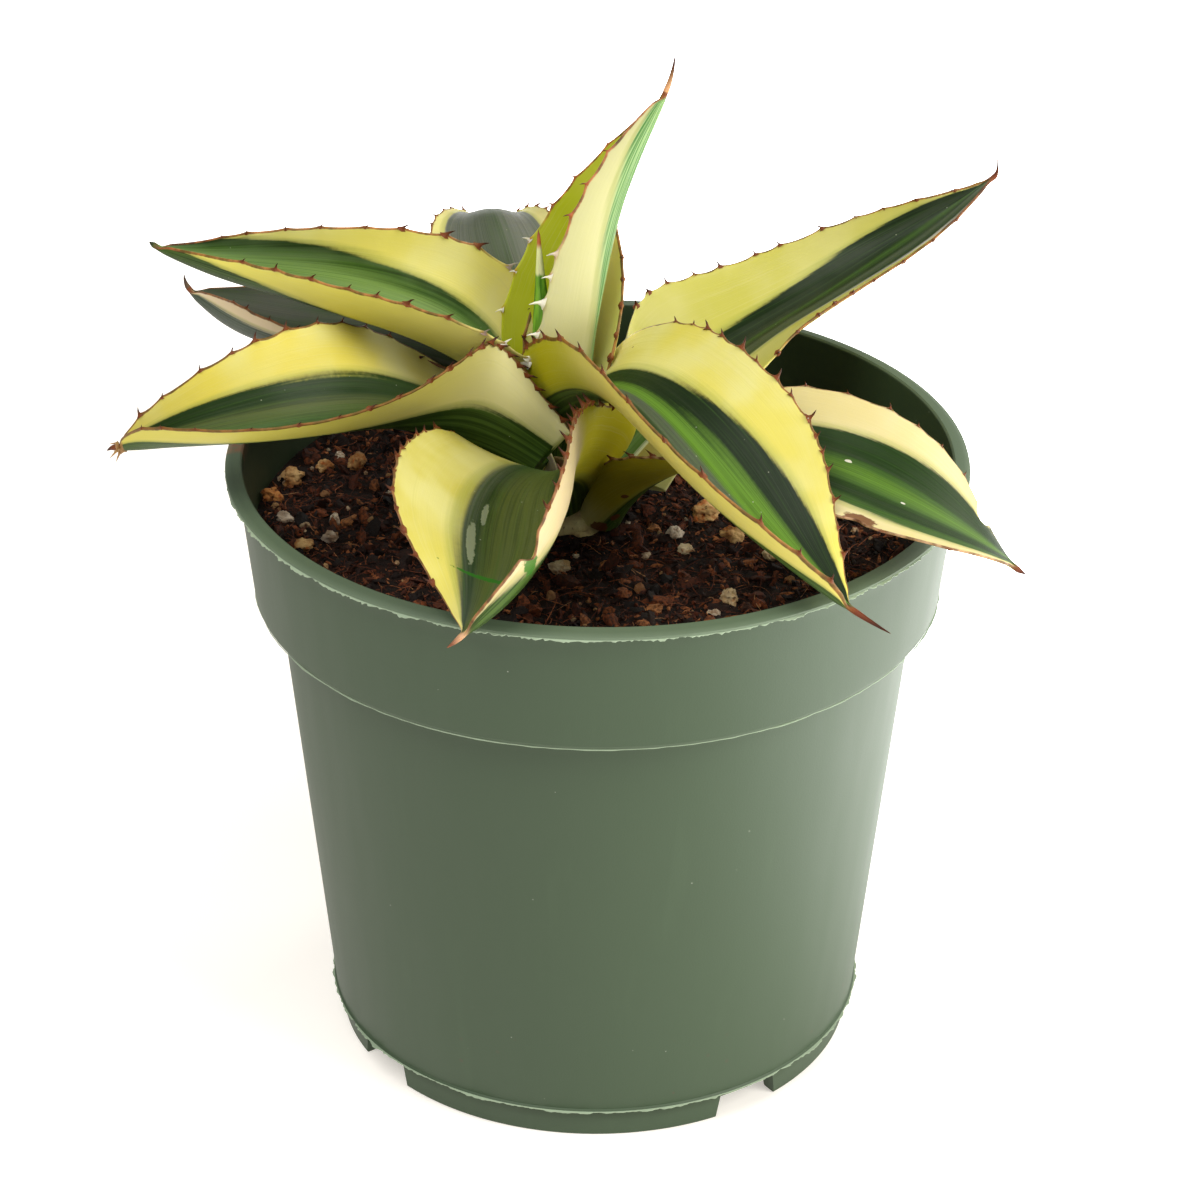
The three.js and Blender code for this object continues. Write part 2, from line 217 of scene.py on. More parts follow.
class Shader:
    def __init__(self, name):
        self.material = bpy.data.materials.new(name)
        self.material.use_nodes = True
        self.tree = self.material.node_tree
        self.tree.nodes.clear()

    def node(self, kind, settings=None, inputs=None, output=0):
        made = self.tree.nodes.new(kind)
        for key, value in (settings or {}).items():
            if key == "stops":
                while len(made.color_ramp.elements) < len(value):
                    made.color_ramp.elements.new(0.5)
                for element, (position, colour) in zip(made.color_ramp.elements, value):
                    element.position = position
                    element.color = tone(*colour)
            else:
                setattr(made, key, value)
        for key, value in (inputs or {}).items():
            if isinstance(value, Value):
                self.tree.links.new(value.socket, made.inputs[key])
            else:
                made.inputs[key].default_value = value
        return Value(self, made.outputs[output])

    def math(self, operation, *values):
        return self.node("ShaderNodeMath", {"operation": operation}, dict(enumerate(values)))

    def paint(self, name):
        return self.node("ShaderNodeAttribute", {"attribute_name": name}, output="Fac")

    def place(self):
        return self.node("ShaderNodeTexCoord", output="Object")

    def vector(self, x, y, z=0):
        return self.node("ShaderNodeCombineXYZ", inputs={"X": x, "Y": y, "Z": z})

    def parts(self, vector, output):
        return self.node("ShaderNodeSeparateXYZ", inputs={0: vector}, output=output)

    def noise(self, vector, scale, detail=2, roughness=0.5):
        inputs = {"Vector": vector, "Scale": scale, "Detail": detail, "Roughness": roughness}
        return self.node("ShaderNodeTexNoise", inputs=inputs)

    def spots(self, vector, scale, size, share):
        # round spots, their size in shares of a cell, in only a share of the cells
        inputs = {"Vector": vector, "Scale": scale}
        distance = self.node("ShaderNodeTexVoronoi", inputs=inputs)
        colour = self.node("ShaderNodeTexVoronoi", inputs=inputs, output="Color")
        chosen = self.math("LESS_THAN", self.parts(colour, "X"), share)
        return self.step(distance, size, 0.6 * size) * chosen

    def strands(self, vector, squeeze, scale, detail):
        # noise drawn out along Z
        drawnOut = self.node("ShaderNodeMapping", inputs={"Vector": vector, "Scale": (1, 1, squeeze)})
        return self.noise(drawnOut, scale, detail)

    def step(self, value, low, high):
        inputs = {"Value": value, "From Min": low, "From Max": high}
        return self.node("ShaderNodeMapRange", {"interpolation_type": "SMOOTHSTEP"}, inputs)

    def mix(self, factor, first, second, blend="MIX"):
        # colours are the outputs of nodes, paint values or, with a fourth number, linear values
        first, second = (tone(*c) if isinstance(c, tuple) and len(c) == 3 else c for c in (first, second))
        settings = {"data_type": "RGBA", "blend_type": blend}
        return self.node("ShaderNodeMix", settings, {0: factor, 6: first, 7: second}, output=2)

    def over(self, colour, *covers):
        # lays colours over another, each where its mask is 1
        for mask, cover in covers:
            colour = self.mix(mask, colour, cover)
        return colour

    def ramp(self, value, stops):
        return self.node("ShaderNodeValToRGB", {"stops": stops}, {"Fac": value})

    def bump(self, height, strength, distance, normal=None):
        inputs = {"Height": height, "Strength": strength, "Distance": distance}
        if normal:
            inputs["Normal"] = normal
        return self.node("ShaderNodeBump", inputs=inputs)

    def finish(self, **inputs):
        spaced = {key.replace("_", " "): value for key, value in inputs.items()}
        surface = self.node("ShaderNodeBsdfPrincipled", inputs=spaced)
        shown = self.tree.nodes.new("ShaderNodeOutputMaterial")
        self.tree.links.new(surface.socket, shown.inputs["Surface"])
        return self.material


view = {
    "distance": 921.9,                            # mm from the camera to the point it looks at
    "elevation": 28.84,
    "aimHeight": 101.8,
    "lens": 126.25,
    "roll": 0.409,
    "shift": 0.0026,
    "sensor": 36,
    "near": 0.01,                                 # m
}

lights = {
    "keyLight": {"place": (1.1, -0.7, 1.05), "size": 0.8, "power": 19, "tint": (255, 251, 244)},
    "topLight": {"place": (-0.45, -0.5, 1.35), "size": 0.9, "power": 15, "tint": (255, 252, 248)},
    "sideLight": {"place": (1.3, -0.3, 0.2), "size": 0.5, "power": 8, "tint": (255, 251, 244)},
    "fillLight": {"place": (-0.35, -1.25, 0.85), "size": 0.9, "power": 2.5, "tint": (255, 252, 248)},
    "backLight": {"place": (0.9, 0.8, 0.8), "size": 0.6, "power": 5, "tint": (255, 250, 240)},
}
lightsAim = (0, 0, 0.12)
backdrop = {
    "size": 6, "tint": (220, 218, 214), "fleck": (226, 224, 220), "roughness": 0.9,
    "glow": (255, 248, 240), "bright": 6.4, "brightFrom": 0.03, "brightTo": 0.17, "glowStrength": 0.46,
    "world": (255, 255, 255), "strength": 0.27,
}


def makeCamera():
    slope = math.radians(view["elevation"])
    deselect()
    bpy.ops.object.camera_add()
    camera = bpy.context.object
    camera.name = "photographCamera"
    reach = view["distance"] * mm
    height = view["aimHeight"] * mm + reach * math.sin(slope)
    camera.location = axis + Vector((0, -reach * math.cos(slope), height))
    camera.rotation_euler = (math.pi / 2 - slope, 0, 0)
    camera.rotation_euler.rotate_axis("Z", math.radians(view["roll"]))
    camera.data.lens = view["lens"]
    camera.data.sensor_width = view["sensor"]
    camera.data.shift_x = view["shift"]
    camera.data.clip_start = view["near"]
    bpy.context.scene.camera = camera


def makeLights():
    for name, light in lights.items():
        bpy.ops.object.light_add(type="AREA", location=light["place"])
        lamp = named(name)
        lamp.data.energy = light["power"]
        lamp.data.size = light["size"]
        lamp.data.color = tone(*light["tint"])[:3]
        towards = Vector(lightsAim) - lamp.location
        lamp.rotation_euler = towards.to_track_quat("-Z", "Y").to_euler()
    world = bpy.data.worlds.new("studio")
    bpy.context.scene.world = world
    world.use_nodes = True
    background = world.node_tree.nodes["Background"]
    background.inputs["Color"].default_value = tone(*backdrop["world"])
    background.inputs["Strength"].default_value = backdrop["strength"]


def makeFloor():
    floor = added("studioFloor", "plane", size=backdrop["size"])
    shader = Shader("palePaper")
    place = shader.place()
    colour = shader.mix(shader.noise(place, 900, 2), backdrop["tint"], backdrop["fleck"])
    # the paper glows more to the right and behind, where the photograph's is pure white
    away = shader.parts(place, "X") * 0.9 + shader.parts(place, "Y") * 0.45
    bright = shader.step(away, backdrop["brightFrom"], backdrop["brightTo"])
    glow = shader.mix(bright, backdrop["glow"], (backdrop["bright"],) * 3 + (1,))
    paper = shader.finish(Base_Color=colour, Roughness=backdrop["roughness"], Emission_Color=glow,
                          Emission_Strength=backdrop["glowStrength"])
    floor.data.materials.append(paper)


makeCamera()
makeLights()
makeFloor()
bpy.context.scene.view_settings.view_transform = "Standard"
print("camera, lights and floor made")


pot = {
    "height": 138, "lipRadius": 80, "lipHeight": 1.6, "lipOverhang": 2.2,
    "bandDrop": 30, "bandTaper": 0.11,
    "wallBottomRadius": 59.2, "wallTaper": 0.103, "wall": 1.4,
    "footHeight": 7.6, "footRadius": 57.6, "footWall": 3.6,
    "floorUnderside": 6, "floorTop": 8, "edge": 0.4,
    "steps": 288, "row": 3.5,                     # mm between the rings of points up the wall
    "notchAngles": (-54, 36, 126, 216), "notchHalf": 8.6, "notchHeight": 5.6, "notchSlant": 1.4,
    "drainRadius": 6, "drainPlace": 44, "warp": 0.35,
    # inside is painted shade: a darker green for the inside of the pot
    "green": (54, 71, 50), "paler": (58, 76, 53), "streak": (70, 88, 65), "inside": (42, 58, 34),
    # lip is a painted highlight: a lighter green on the top of the lip
    "lip": (92, 108, 86), "flash": (156, 174, 148), "dust": (176, 180, 166), "grime": (74, 66, 50),
    "smear": (112, 84, 60), "smearAt": 178, "smearHalf": 3.2,   # degrees round the pot
}


def wallRadius(height):
    return pot["wallBottomRadius"] + pot["wallTaper"] * (height - pot["footHeight"])


def bandRadius(height):
    return pot["lipRadius"] - pot["lipOverhang"] - pot["bandTaper"] * (pot["height"] - height)


bandBottom = pot["height"] - pot["bandDrop"]


def straight(start, end):
    # evenly spaced points of a straight run, without its end
    rows = max(1, round(math.dist(start, end) / pot["row"]))
    return [tuple(a + (b - a) * i / rows for a, b in zip(start, end)) for i in range(rows)]


def potOutline():
    # (radius, height) from under the floor round the foot, band and lip to the floor's upper side
    edge, wall, top, lip = (pot[key] for key in ("edge", "wall", "height", "lipRadius"))
    foot, footRadius, ledge = (pot[key] for key in ("footHeight", "footRadius", "wallBottomRadius"))
    under, floor, small = pot["floorUnderside"], pot["floorTop"], 0.3
    lipBottom = top - pot["lipHeight"]
    footInside = footRadius - pot["footWall"]
    band = bandBottom
    corner = floor + wall
    corners = [
        (0, under), (footInside - 0.5, under), (footInside, under - 0.5), (footInside, small),
        (footInside + small, 0), (footRadius - small, 0), (footRadius, small),
        (footRadius + edge, foot - edge), (ledge + edge, foot - edge / 2), (ledge + edge, foot),
        (wallRadius(foot + edge), foot + edge), (wallRadius(band - 3 * edge), band - 3 * edge),
        (wallRadius(band) + small, band - edge), (wallRadius(band) + 3 * edge, band),
        (bandRadius(band) - edge, band), (bandRadius(band), band + edge),
        (bandRadius(band + 1), band + 1), (bandRadius(lipBottom - 1), lipBottom - 1),
        (bandRadius(lipBottom) + small, lipBottom - 0.2), (lip - edge, lipBottom),
        (lip, lipBottom + edge), (lip - 0.1, top - 2 * edge), (lip - wall, top - edge / 2),
        (bandRadius(top) - wall + edge, top), (bandRadius(top) - wall, top - edge),
        (bandRadius(band) - wall, band + 2 * wall), (wallRadius(band) - wall, band),
        (wallRadius(corner) - wall, corner), (wallRadius(corner) - 2 * wall, floor), (0, floor),
    ]
    outline = [point for start, end in zip(corners, corners[1:]) for point in straight(start, end)]
    return outline + [corners[-1]]


def spun(name, outline, steps):
    # turns an open outline of (radius, height), in mm, round the upright axis
    piece = added(name, "circle", vertices=len(outline), radius=1)
    putPlaces(piece, [(radius * mm, 0, height * mm) for radius, height in outline])
    toEdit("DESELECT", "EDGE")
    toObject()
    ends = {0, len(outline) - 1}
    for drawn in piece.data.edges:
        drawn.select = set(drawn.vertices) == ends
    bpy.ops.object.mode_set(mode="EDIT")
    bpy.ops.mesh.delete(type="EDGE")
    toEdit()
    bpy.ops.mesh.spin(steps=steps, angle=2 * math.pi, center=(0, 0, 0), axis=(0, 0, 1))
    toObject()
    cleanUp(piece)
    return piece


def cutWith(piece, cutter):
    shapedBy(piece, "BOOLEAN", operation="DIFFERENCE", solver="EXACT", object=cutter)
    bpy.data.objects.remove(cutter)


def notchCutter(angle):
    half = pot["footRadius"] * math.sin(math.radians(pot["notchHalf"]))
    spare = 3                                     # mm that it stands out on each side of the foot
    cutter = added("notchCutter", "cube", size=1)
    places = placesOf(cutter)
    high = places[:, 2] > 0
    places[:, 0] = pot["footRadius"] - pot["footWall"] / 2 + places[:, 0] * (pot["footWall"] + 2 * spare)
    places[:, 1] = np.sign(places[:, 1]) * np.where(high, half - pot["notchSlant"], half)
    places[:, 2] = np.where(high, pot["notchHeight"], -spare)
    putPlaces(cutter, places * mm)
    cutter.rotation_euler = (0, 0, math.radians(angle))
    bpy.ops.object.transform_apply()
    return cutter


def drainCutter(angle):
    x, y = around(pot["drainPlace"] * mm, math.radians(angle))
    middle = (pot["floorUnderside"] + pot["floorTop"]) / 2 * mm
    return added("drainCutter", "cylinder", vertices=48, radius=pot["drainRadius"] * mm, depth=6 * mm,
                 location=(x, y, middle))


flashes = {
    # ragged moulding flash: radius and height of its root, mm that it stands out, droops and is
    # thick, the middle and half spread in degrees of where it is strongest, its share elsewhere,
    # and mm between its rags
    "lipFlash": {"radius": 79.75, "height": 136.75, "reach": 0.95, "drop": 0.4, "thick": 0.2,
                 "middle": -98, "spread": 62, "rest": 0.16, "pitch": 1.2},
    "bandFlash": {"radius": None, "height": 108.1, "reach": 0.35, "drop": 0.1, "thick": 0.16,
                  "middle": -90, "spread": 180, "rest": 0.5, "pitch": 8},
    "footFlash": {"radius": 59.4, "height": 7.5, "reach": 0.95, "drop": 0.15, "thick": 0.2,
                  "middle": -80, "spread": 120, "rest": 0.35, "pitch": 2.6},
}


def flashRing(name, flash, seed):
    count = 1080
    root = flash["radius"] or bandRadius(bandBottom) - 0.15
    ring = added(name, "circle", vertices=count, radius=root * mm, location=(0, 0, flash["height"] * mm))
    toEdit()
    bpy.ops.mesh.extrude_edges_move()
    toObject()
    places = placesOf(ring)
    angles = np.arctan2(places[:, 1], places[:, 0])
    outer = np.arange(len(places)) >= count
    arc = angles * root / flash["pitch"]
    ragged = 0.55
    for strength, span, more in ((0.7, 4, 0), (0.5, 1, 5), (0.35, 0.35, 9)):
        ragged = ragged + strength * wobble(arc / span, 0 * arc, seed + more)
    ragged = np.clip(ragged, 0.05, 1.2)
    away = np.abs((np.degrees(angles) - flash["middle"] + 180) % 360 - 180)
    strongest = smooth(away, flash["spread"] + 25, flash["spread"] - 15)
    present = flash["rest"] + (1 - flash["rest"]) * strongest
    radius = np.where(outer, root + flash["reach"] * ragged * present, root)
    places[:, 0], places[:, 1] = around(radius * mm, angles)
    places[:, 2] -= np.where(outer, flash["drop"] * ragged * mm, 0)
    putPlaces(ring, places)
    shapedBy(ring, "SOLIDIFY", thickness=flash["thick"] * mm, offset=0)
    paintPoints(ring, "flash", np.ones(len(ring.data.vertices)))
    return ring


def potFinish():
    shader = Shader("pottedGreenPlastic")
    place = shader.place()
    height = shader.parts(place, "Z")
    cloud = shader.noise(place, 14, 3)
    streaks = shader.strands(place, 0.12, 160, 3)
    grain = shader.noise(place, 2600, 2)
    low = shader.step(height, 34 * mm, 4 * mm)
    edge = shader.paint("flash")
    green = shader.over(
        shader.mix(cloud, pot["green"], pot["paler"]),
        (shader.step(streaks, 0.55, 0.8) * 0.2, pot["streak"]),
        # painted shade: the inside of the wall and the floor are a darker green
        (shader.paint("inner"), pot["inside"]),
        (shader.spots(place, 420, 0.08, 0.04) * 0.5, pot["dust"]),
        # painted highlight: the top of the lip is lighter
        (shader.step(height, (pot["height"] - 1) * mm, pot["height"] * mm) * 0.6, pot["lip"]),
        (shader.spots(place, 260, 0.16, 0.18) * low * 0.7, pot["grime"]),
        (shader.paint("smear") * shader.step(shader.noise(place, 700, 3), 0.3, 0.55), pot["smear"]),
        (edge * 0.85, pot["flash"]),
    )
    roughness = 0.42 + 0.12 * cloud + 0.1 * streaks + 0.15 * edge
    bump = shader.bump(streaks, 0.06, 0.0004, shader.bump(grain, 0.12, 0.0002))
    return shader.finish(Base_Color=green, Roughness=roughness, Normal=bump, Specular_IOR_Level=0.4)


def makePot():
    body = spun("potBody", potOutline(), pot["steps"])
    for angle in pot["notchAngles"]:
        cutWith(body, notchCutter(angle))
        cutWith(body, drainCutter(angle))
    places = placesOf(body)
    angles = np.arctan2(places[:, 1], places[:, 0])
    radius = np.hypot(places[:, 0], places[:, 1]) / mm
    # the wall is a little out of round towards its top
    high = smooth(places[:, 2], 0.01, 0.13)
    warp = pot["warp"] * mm * high * wobble(*around(1.5, angles), 3)
    places[:, :2] += np.stack(around(warp, angles), 1)
    putPlaces(body, places)
    heights = places[:, 2] / mm
    outside = np.where(heights > bandBottom, bandRadius(heights), wallRadius(heights))
    level = (heights > pot["floorTop"] - 1) & (heights < pot["height"] - 0.2)
    # marks the inside of the wall and the floor, which get painted shade
    paintPoints(body, "inner", (radius < outside - 0.7) & level)
    ridge = np.exp(-((heights - bandBottom - 0.15) / 0.2) ** 2) * (radius > bandRadius(bandBottom) - 0.8)
    lipEdge = np.exp(-((heights - 136.9) / 0.5) ** 2) * (radius > pot["lipRadius"] - 0.5)
    paintPoints(body, "flash", np.clip(0.45 * ridge + 0.35 * lipEdge, 0, 1))
    away = np.abs(np.degrees(angles) - pot["smearAt"])
    onLip = (heights > pot["height"] - 1) & (radius > 75)
    paintPoints(body, "smear", (away < pot["smearHalf"]) & onLip)
    rings = [flashRing(name, flash, 11 + 20 * i) for i, (name, flash) in enumerate(flashes.items())]
    whole = joinAll([body] + rings, "nurseryPot")
    finishPiece(whole, "pot_plastic", ["pot"], potFinish(), 35)


makePot()
print("pot made")


mix = {
    "level": 121.5, "cells": 250, "bottom": 8.6,
    "waves": ((0.7, 17, 21, 0.6), (0.45, 7.3, 6.1, 2)),       # height, length across, length back, phase
    "clods": 1, "clodSize": 7, "grit": 0.6, "gritSize": 1.5,
    "aroundStem": 10.2, "fibres": 2300,
    # the colours of each kind of bit, from its commonest to its rarest
    "peatCrumbs": ((0, (14, 7, 5)), (0.35, (40, 19, 11)), (0.66, (88, 42, 22)), (0.9, (134, 72, 38)),
                   (1, (184, 124, 76))),
    "peatDust": ((0, (18, 9, 6)), (0.4, (56, 26, 15)), (0.75, (116, 56, 30)), (1, (184, 116, 68))),
    "coirFibre": ((0, (44, 20, 12)), (0.55, (112, 56, 31)), (0.9, (160, 94, 56)), (1, (208, 160, 114))),
    "perliteCrumb": ((0, (120, 78, 44)), (0.5, (178, 142, 98)), (1, (224, 212, 190))),
}
crumbs = {
    # how many, radius in mm from and to, how far stretched, how flat, share of the radius above the
    # mix, mm kept clear of the wall and stem, fineness of the mesh
    "soilCrumbs": (2200, 0.3, 1.5, 2.6, 0.4, 0.1, 1.5, 2),
    "soilDust": (9000, 0.16, 0.6, 3.2, 0.5, 0.5, 1.5, 1),
    "perliteCrumbs": (170, 0.35, 1.25, 1.4, 0.7, 0.3, 2, 2),
}


def soilTop(x, y):
    # the level with its waves, clods and grit, all in mm
    top = mix["level"] - 0.3 + 0 * x
    for height, across, back, phase in mix["waves"]:
        top = top + height * np.sin(x / across + phase) * np.cos(y / back - phase)
    for height, size, seed in ((mix["clods"], mix["clodSize"], 2.5), (mix["grit"], mix["gritSize"], 8.5)):
        top = top + height * wobble(x / size, y / size, seed)
    return top


def soilRadius(height):
    return bandRadius(height) - pot["wall"] - 0.3


def makeSoilBody():
    cells = mix["cells"]
    body = added("pottingMix", "grid", x_subdivisions=cells, y_subdivisions=cells, size=2)
    a, b = placesOf(body)[:, :2].T
    rim = soilRadius(mix["level"])
    x = a * np.sqrt(1 - b * b / 2) * rim          # the square grid made round
    y = b * np.sqrt(1 - a * a / 2) * rim
    nearWall = smooth(np.hypot(x, y), rim - 4, rim)
    z = soilTop(x, y) * (1 - nearWall) + (mix["level"] - 0.4) * nearWall
    putPlaces(body, np.stack([x, y, z], 1) * mm)
    toEdit()
    bpy.ops.mesh.region_to_loop()
    for height in (bandBottom + 3, bandBottom - 0.3, 60, mix["bottom"]):
        radius = wallRadius(height) - pot["wall"] - 0.5 if height < bandBottom else soilRadius(height)
        bpy.ops.mesh.extrude_edges_move()
        toObject()
        places = placesOf(body)
        chosen = np.array([vertex.select for vertex in body.data.vertices])
        angle = np.arctan2(places[chosen, 1], places[chosen, 0])
        places[chosen] = np.stack([*around(radius, angle), height + 0 * angle], 1) * mm
        putPlaces(body, places)
        bpy.ops.object.mode_set(mode="EDIT")
    bpy.ops.mesh.edge_face_add()
    toObject()
    cleanUp(body)
    return body


def openPlaces(dice, count, margin):
    # places on the mix, clear of the stem and the wall
    found = []
    limit = soilRadius(mix["level"]) - margin
    while len(found) < count:
        place = dice.uniform(-limit, limit, 2)
        if math.hypot(*place) < limit and math.dist(place, stemPlace) > mix["aroundStem"] + margin:
            found.append(place)
    return np.array(found)


def turned(dice):
    # a random turn
    x, y, z = unit(dice.normal(size=3))
    angle = dice.uniform(0, 2 * math.pi)
    cross = np.array([[0, -z, y], [z, 0, -x], [-y, x, 0]])
    return np.eye(3) + math.sin(angle) * cross + (1 - math.cos(angle)) * cross @ cross


def knobbed(places, scale, amount, shift):
    lumps = [noise.noise(Vector(place * scale) + Vector(shift)) for place in places]
    return places * (1 + amount * np.array(lumps))[:, None]


def knobbly(name, detail, amount, seed):
    piece = added(name, "ico_sphere", subdivisions=detail, radius=1)
    putPlaces(piece, knobbed(placesOf(piece), 1.3, amount, (seed, 0, 0)))
    return piece


def scatter(name, seed):
    count, smallest, largest, stretch, flat, above, margin, detail = crumbs[name]
    dice = np.random.default_rng(seed)
    grain = knobbly(name + "Grain", detail, 0.85, seed)
    shape = placesOf(grain)
    spots = openPlaces(dice, count, margin)
    sizes = smallest + (largest - smallest) * dice.random(count) ** 2.2
    forms = []
    for (x, y), size, top in zip(spots, sizes, soilTop(*spots.T)):
        stretched = np.diag([size * dice.uniform(1, stretch), size, size * dice.uniform(flat, 1)])
        forms.append(shape @ (turned(dice) @ stretched).T + np.array([x, y, top + size * above]))
    return copiesOf(grain, name, forms, {"kind": np.repeat(dice.random(count), len(shape))})


def makeFibres():
    dice = np.random.default_rng(31)
    strand = added("strand", "cylinder", vertices=4, radius=1, depth=2, end_fill_type="TRIFAN")
    cutAcross((0, -0.66, -0.33, 0.33, 0.66))
    thickX, thickY, t = placesOf(strand).T
    spots = openPlaces(dice, mix["fibres"], 3.5)
    forms = []
    for (x, y), top in zip(spots, soilTop(*spots.T)):
        length = 0.7 + 3.6 * dice.random() ** 2
        thick = dice.uniform(0.05, 0.14)
        heading = dice.uniform(0, 2 * math.pi)
        tilt = dice.normal(0, 0.4)
        bow = dice.normal(0, 0.25) * length
        curl = dice.normal(0, 0.3) * length
        taper = thick * (1 - 0.6 * t * t)
        ahead = t * length
        aside = thickX * taper + bow * t * t + curl * t * (1 - t * t)
        up = thickY * taper + ahead * tilt + 0.1 * length * (1 - t * t)
        px = x + ahead * math.cos(heading) - aside * math.sin(heading)
        py = y + ahead * math.sin(heading) + aside * math.cos(heading)
        pull = np.minimum(1, (soilRadius(mix["level"]) - 0.8) / np.hypot(px, py))
        forms.append(np.stack([px * pull, py * pull, top + 0.3 + up], 1))
    return copiesOf(strand, "fibres", forms, {"kind": np.repeat(dice.random(len(spots)), len(t))})


def soilFinish():
    shader = Shader("peatAndBark")
    place = shader.place()
    broad = shader.noise(place, 120, 4, 0.6)
    fine = shader.noise(place, 900, 5, 0.7)
    brown = shader.over(
        shader.ramp(broad, [(0.3, (13, 8, 6)), (0.55, (28, 15, 10)), (0.8, (48, 25, 15))]),
        (shader.step(fine, 0.52, 0.72), (84, 44, 26)),
        (shader.spots(place, 420, 0.2, 0.04), (150, 110, 72)),
    )
    bump = shader.bump(fine, 0.9, 0.0012)
    return shader.finish(Base_Color=brown, Roughness=0.7 + 0.25 * fine, Normal=bump, Specular_IOR_Level=0.25)


def crumbFinish(name):
    shader = Shader(name)
    fine = shader.noise(shader.place(), 1300, 4, 0.65)
    colour = shader.ramp(shader.paint("kind"), mix[name])
    colour = shader.mix(shader.step(fine, 0.62, 0.36) * 0.75, colour, mix[name][0][1])
    bump = shader.bump(fine, 0.9, 0.0006)
    return shader.finish(Base_Color=colour, Roughness=0.5 + 0.4 * fine, Normal=bump, Specular_IOR_Level=0.3)


def makeSoil():
    finishPiece(makeSoilBody(), "potting_mix", ["soil"], soilFinish(), 80)
    finishPiece(scatter("soilCrumbs", 17), "potting_mix", [], crumbFinish("peatCrumbs"), 40)
    finishPiece(scatter("soilDust", 19), "potting_mix", [], crumbFinish("peatDust"), 40)
    finishPiece(makeFibres(), "potting_mix", [], crumbFinish("coirFibre"), 60)
    finishPiece(scatter("perliteCrumbs", 23), "perlite", [], crumbFinish("perliteCrumb"), 60)


makeSoil()
print("potting mix made")


# pumice, perlite and bark lumps
stones = {
    "tan": {"light": (214, 176, 120), "dark": (150, 98, 52), "stain": (176, 92, 34), "pits": 0.9},
    "rust": {"light": (196, 132, 74), "dark": (128, 66, 30), "stain": (150, 66, 22), "pits": 1},
    "cream": {"light": (222, 204, 168), "dark": (176, 146, 104), "stain": (160, 104, 60), "pits": 0.7},
    "white": {"light": (212, 198, 178), "dark": (160, 138, 116), "stain": (150, 120, 96), "pits": 0.5},
    "bark": {"light": (104, 62, 38), "dark": (44, 24, 16), "stain": (78, 40, 24), "pits": 0.6},
}
stoneKinds = {
    "pumice": "tan", "perlite": "white", "bark": "bark", "pumice_2": "rust", "pumice_8": "cream",
    "pumice_9": "cream", "perlite_4": "cream", "perlite_5": "cream",
}


def stoneFinish(kind):
    look = stones[kind]
    shader = Shader(kind + "Stone")
    place = shader.place()
    broad = shader.noise(place, 260, 3)
    fine = shader.noise(place, 1500, 3, 0.6)
    pits = shader.spots(place, 900, 0.34, 0.45)
    stain = shader.step(shader.noise(place, 380, 2), 0.56, 0.68)
    colour = shader.over(shader.mix(shader.step(broad, 0.35, 0.65), look["dark"], look["light"]),
                         (stain * 0.8, look["stain"]), (pits * (0.6 * look["pits"]), (62, 36, 22)))
    bump = shader.bump(fine - pits, 0.7, 0.0006)
    return shader.finish(Base_Color=colour, Roughness=0.82 + 0.1 * fine, Normal=bump, Specular_IOR_Level=0.3)


def makeStones():
    finishes = {kind: stoneFinish(kind) for kind in stones}
    names = sorted(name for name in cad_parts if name.split("_")[0] in ("pumice", "perlite", "bark"))
    for i, name in enumerate(names):
        low, high = (np.array(corner - axis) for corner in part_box(name))
        group = name.split("_")[0]
        stone = knobbly(name + "Stone", 5, 0.55, 40 + 3.7 * i)
        places = placesOf(stone)
        places = knobbed(places, 4.1, 0.14, (0, 9 * i, 0))
        least, most = places.min(0), places.max(0)
        putPlaces(stone, (places - (most + least) / 2) / (most - least) * (high - low) + (low + high) / 2)
        kind = stoneKinds.get(name, stoneKinds[group])
        finishPiece(stone, group, [name], finishes[kind], 70)


makeStones()
print("stones made")


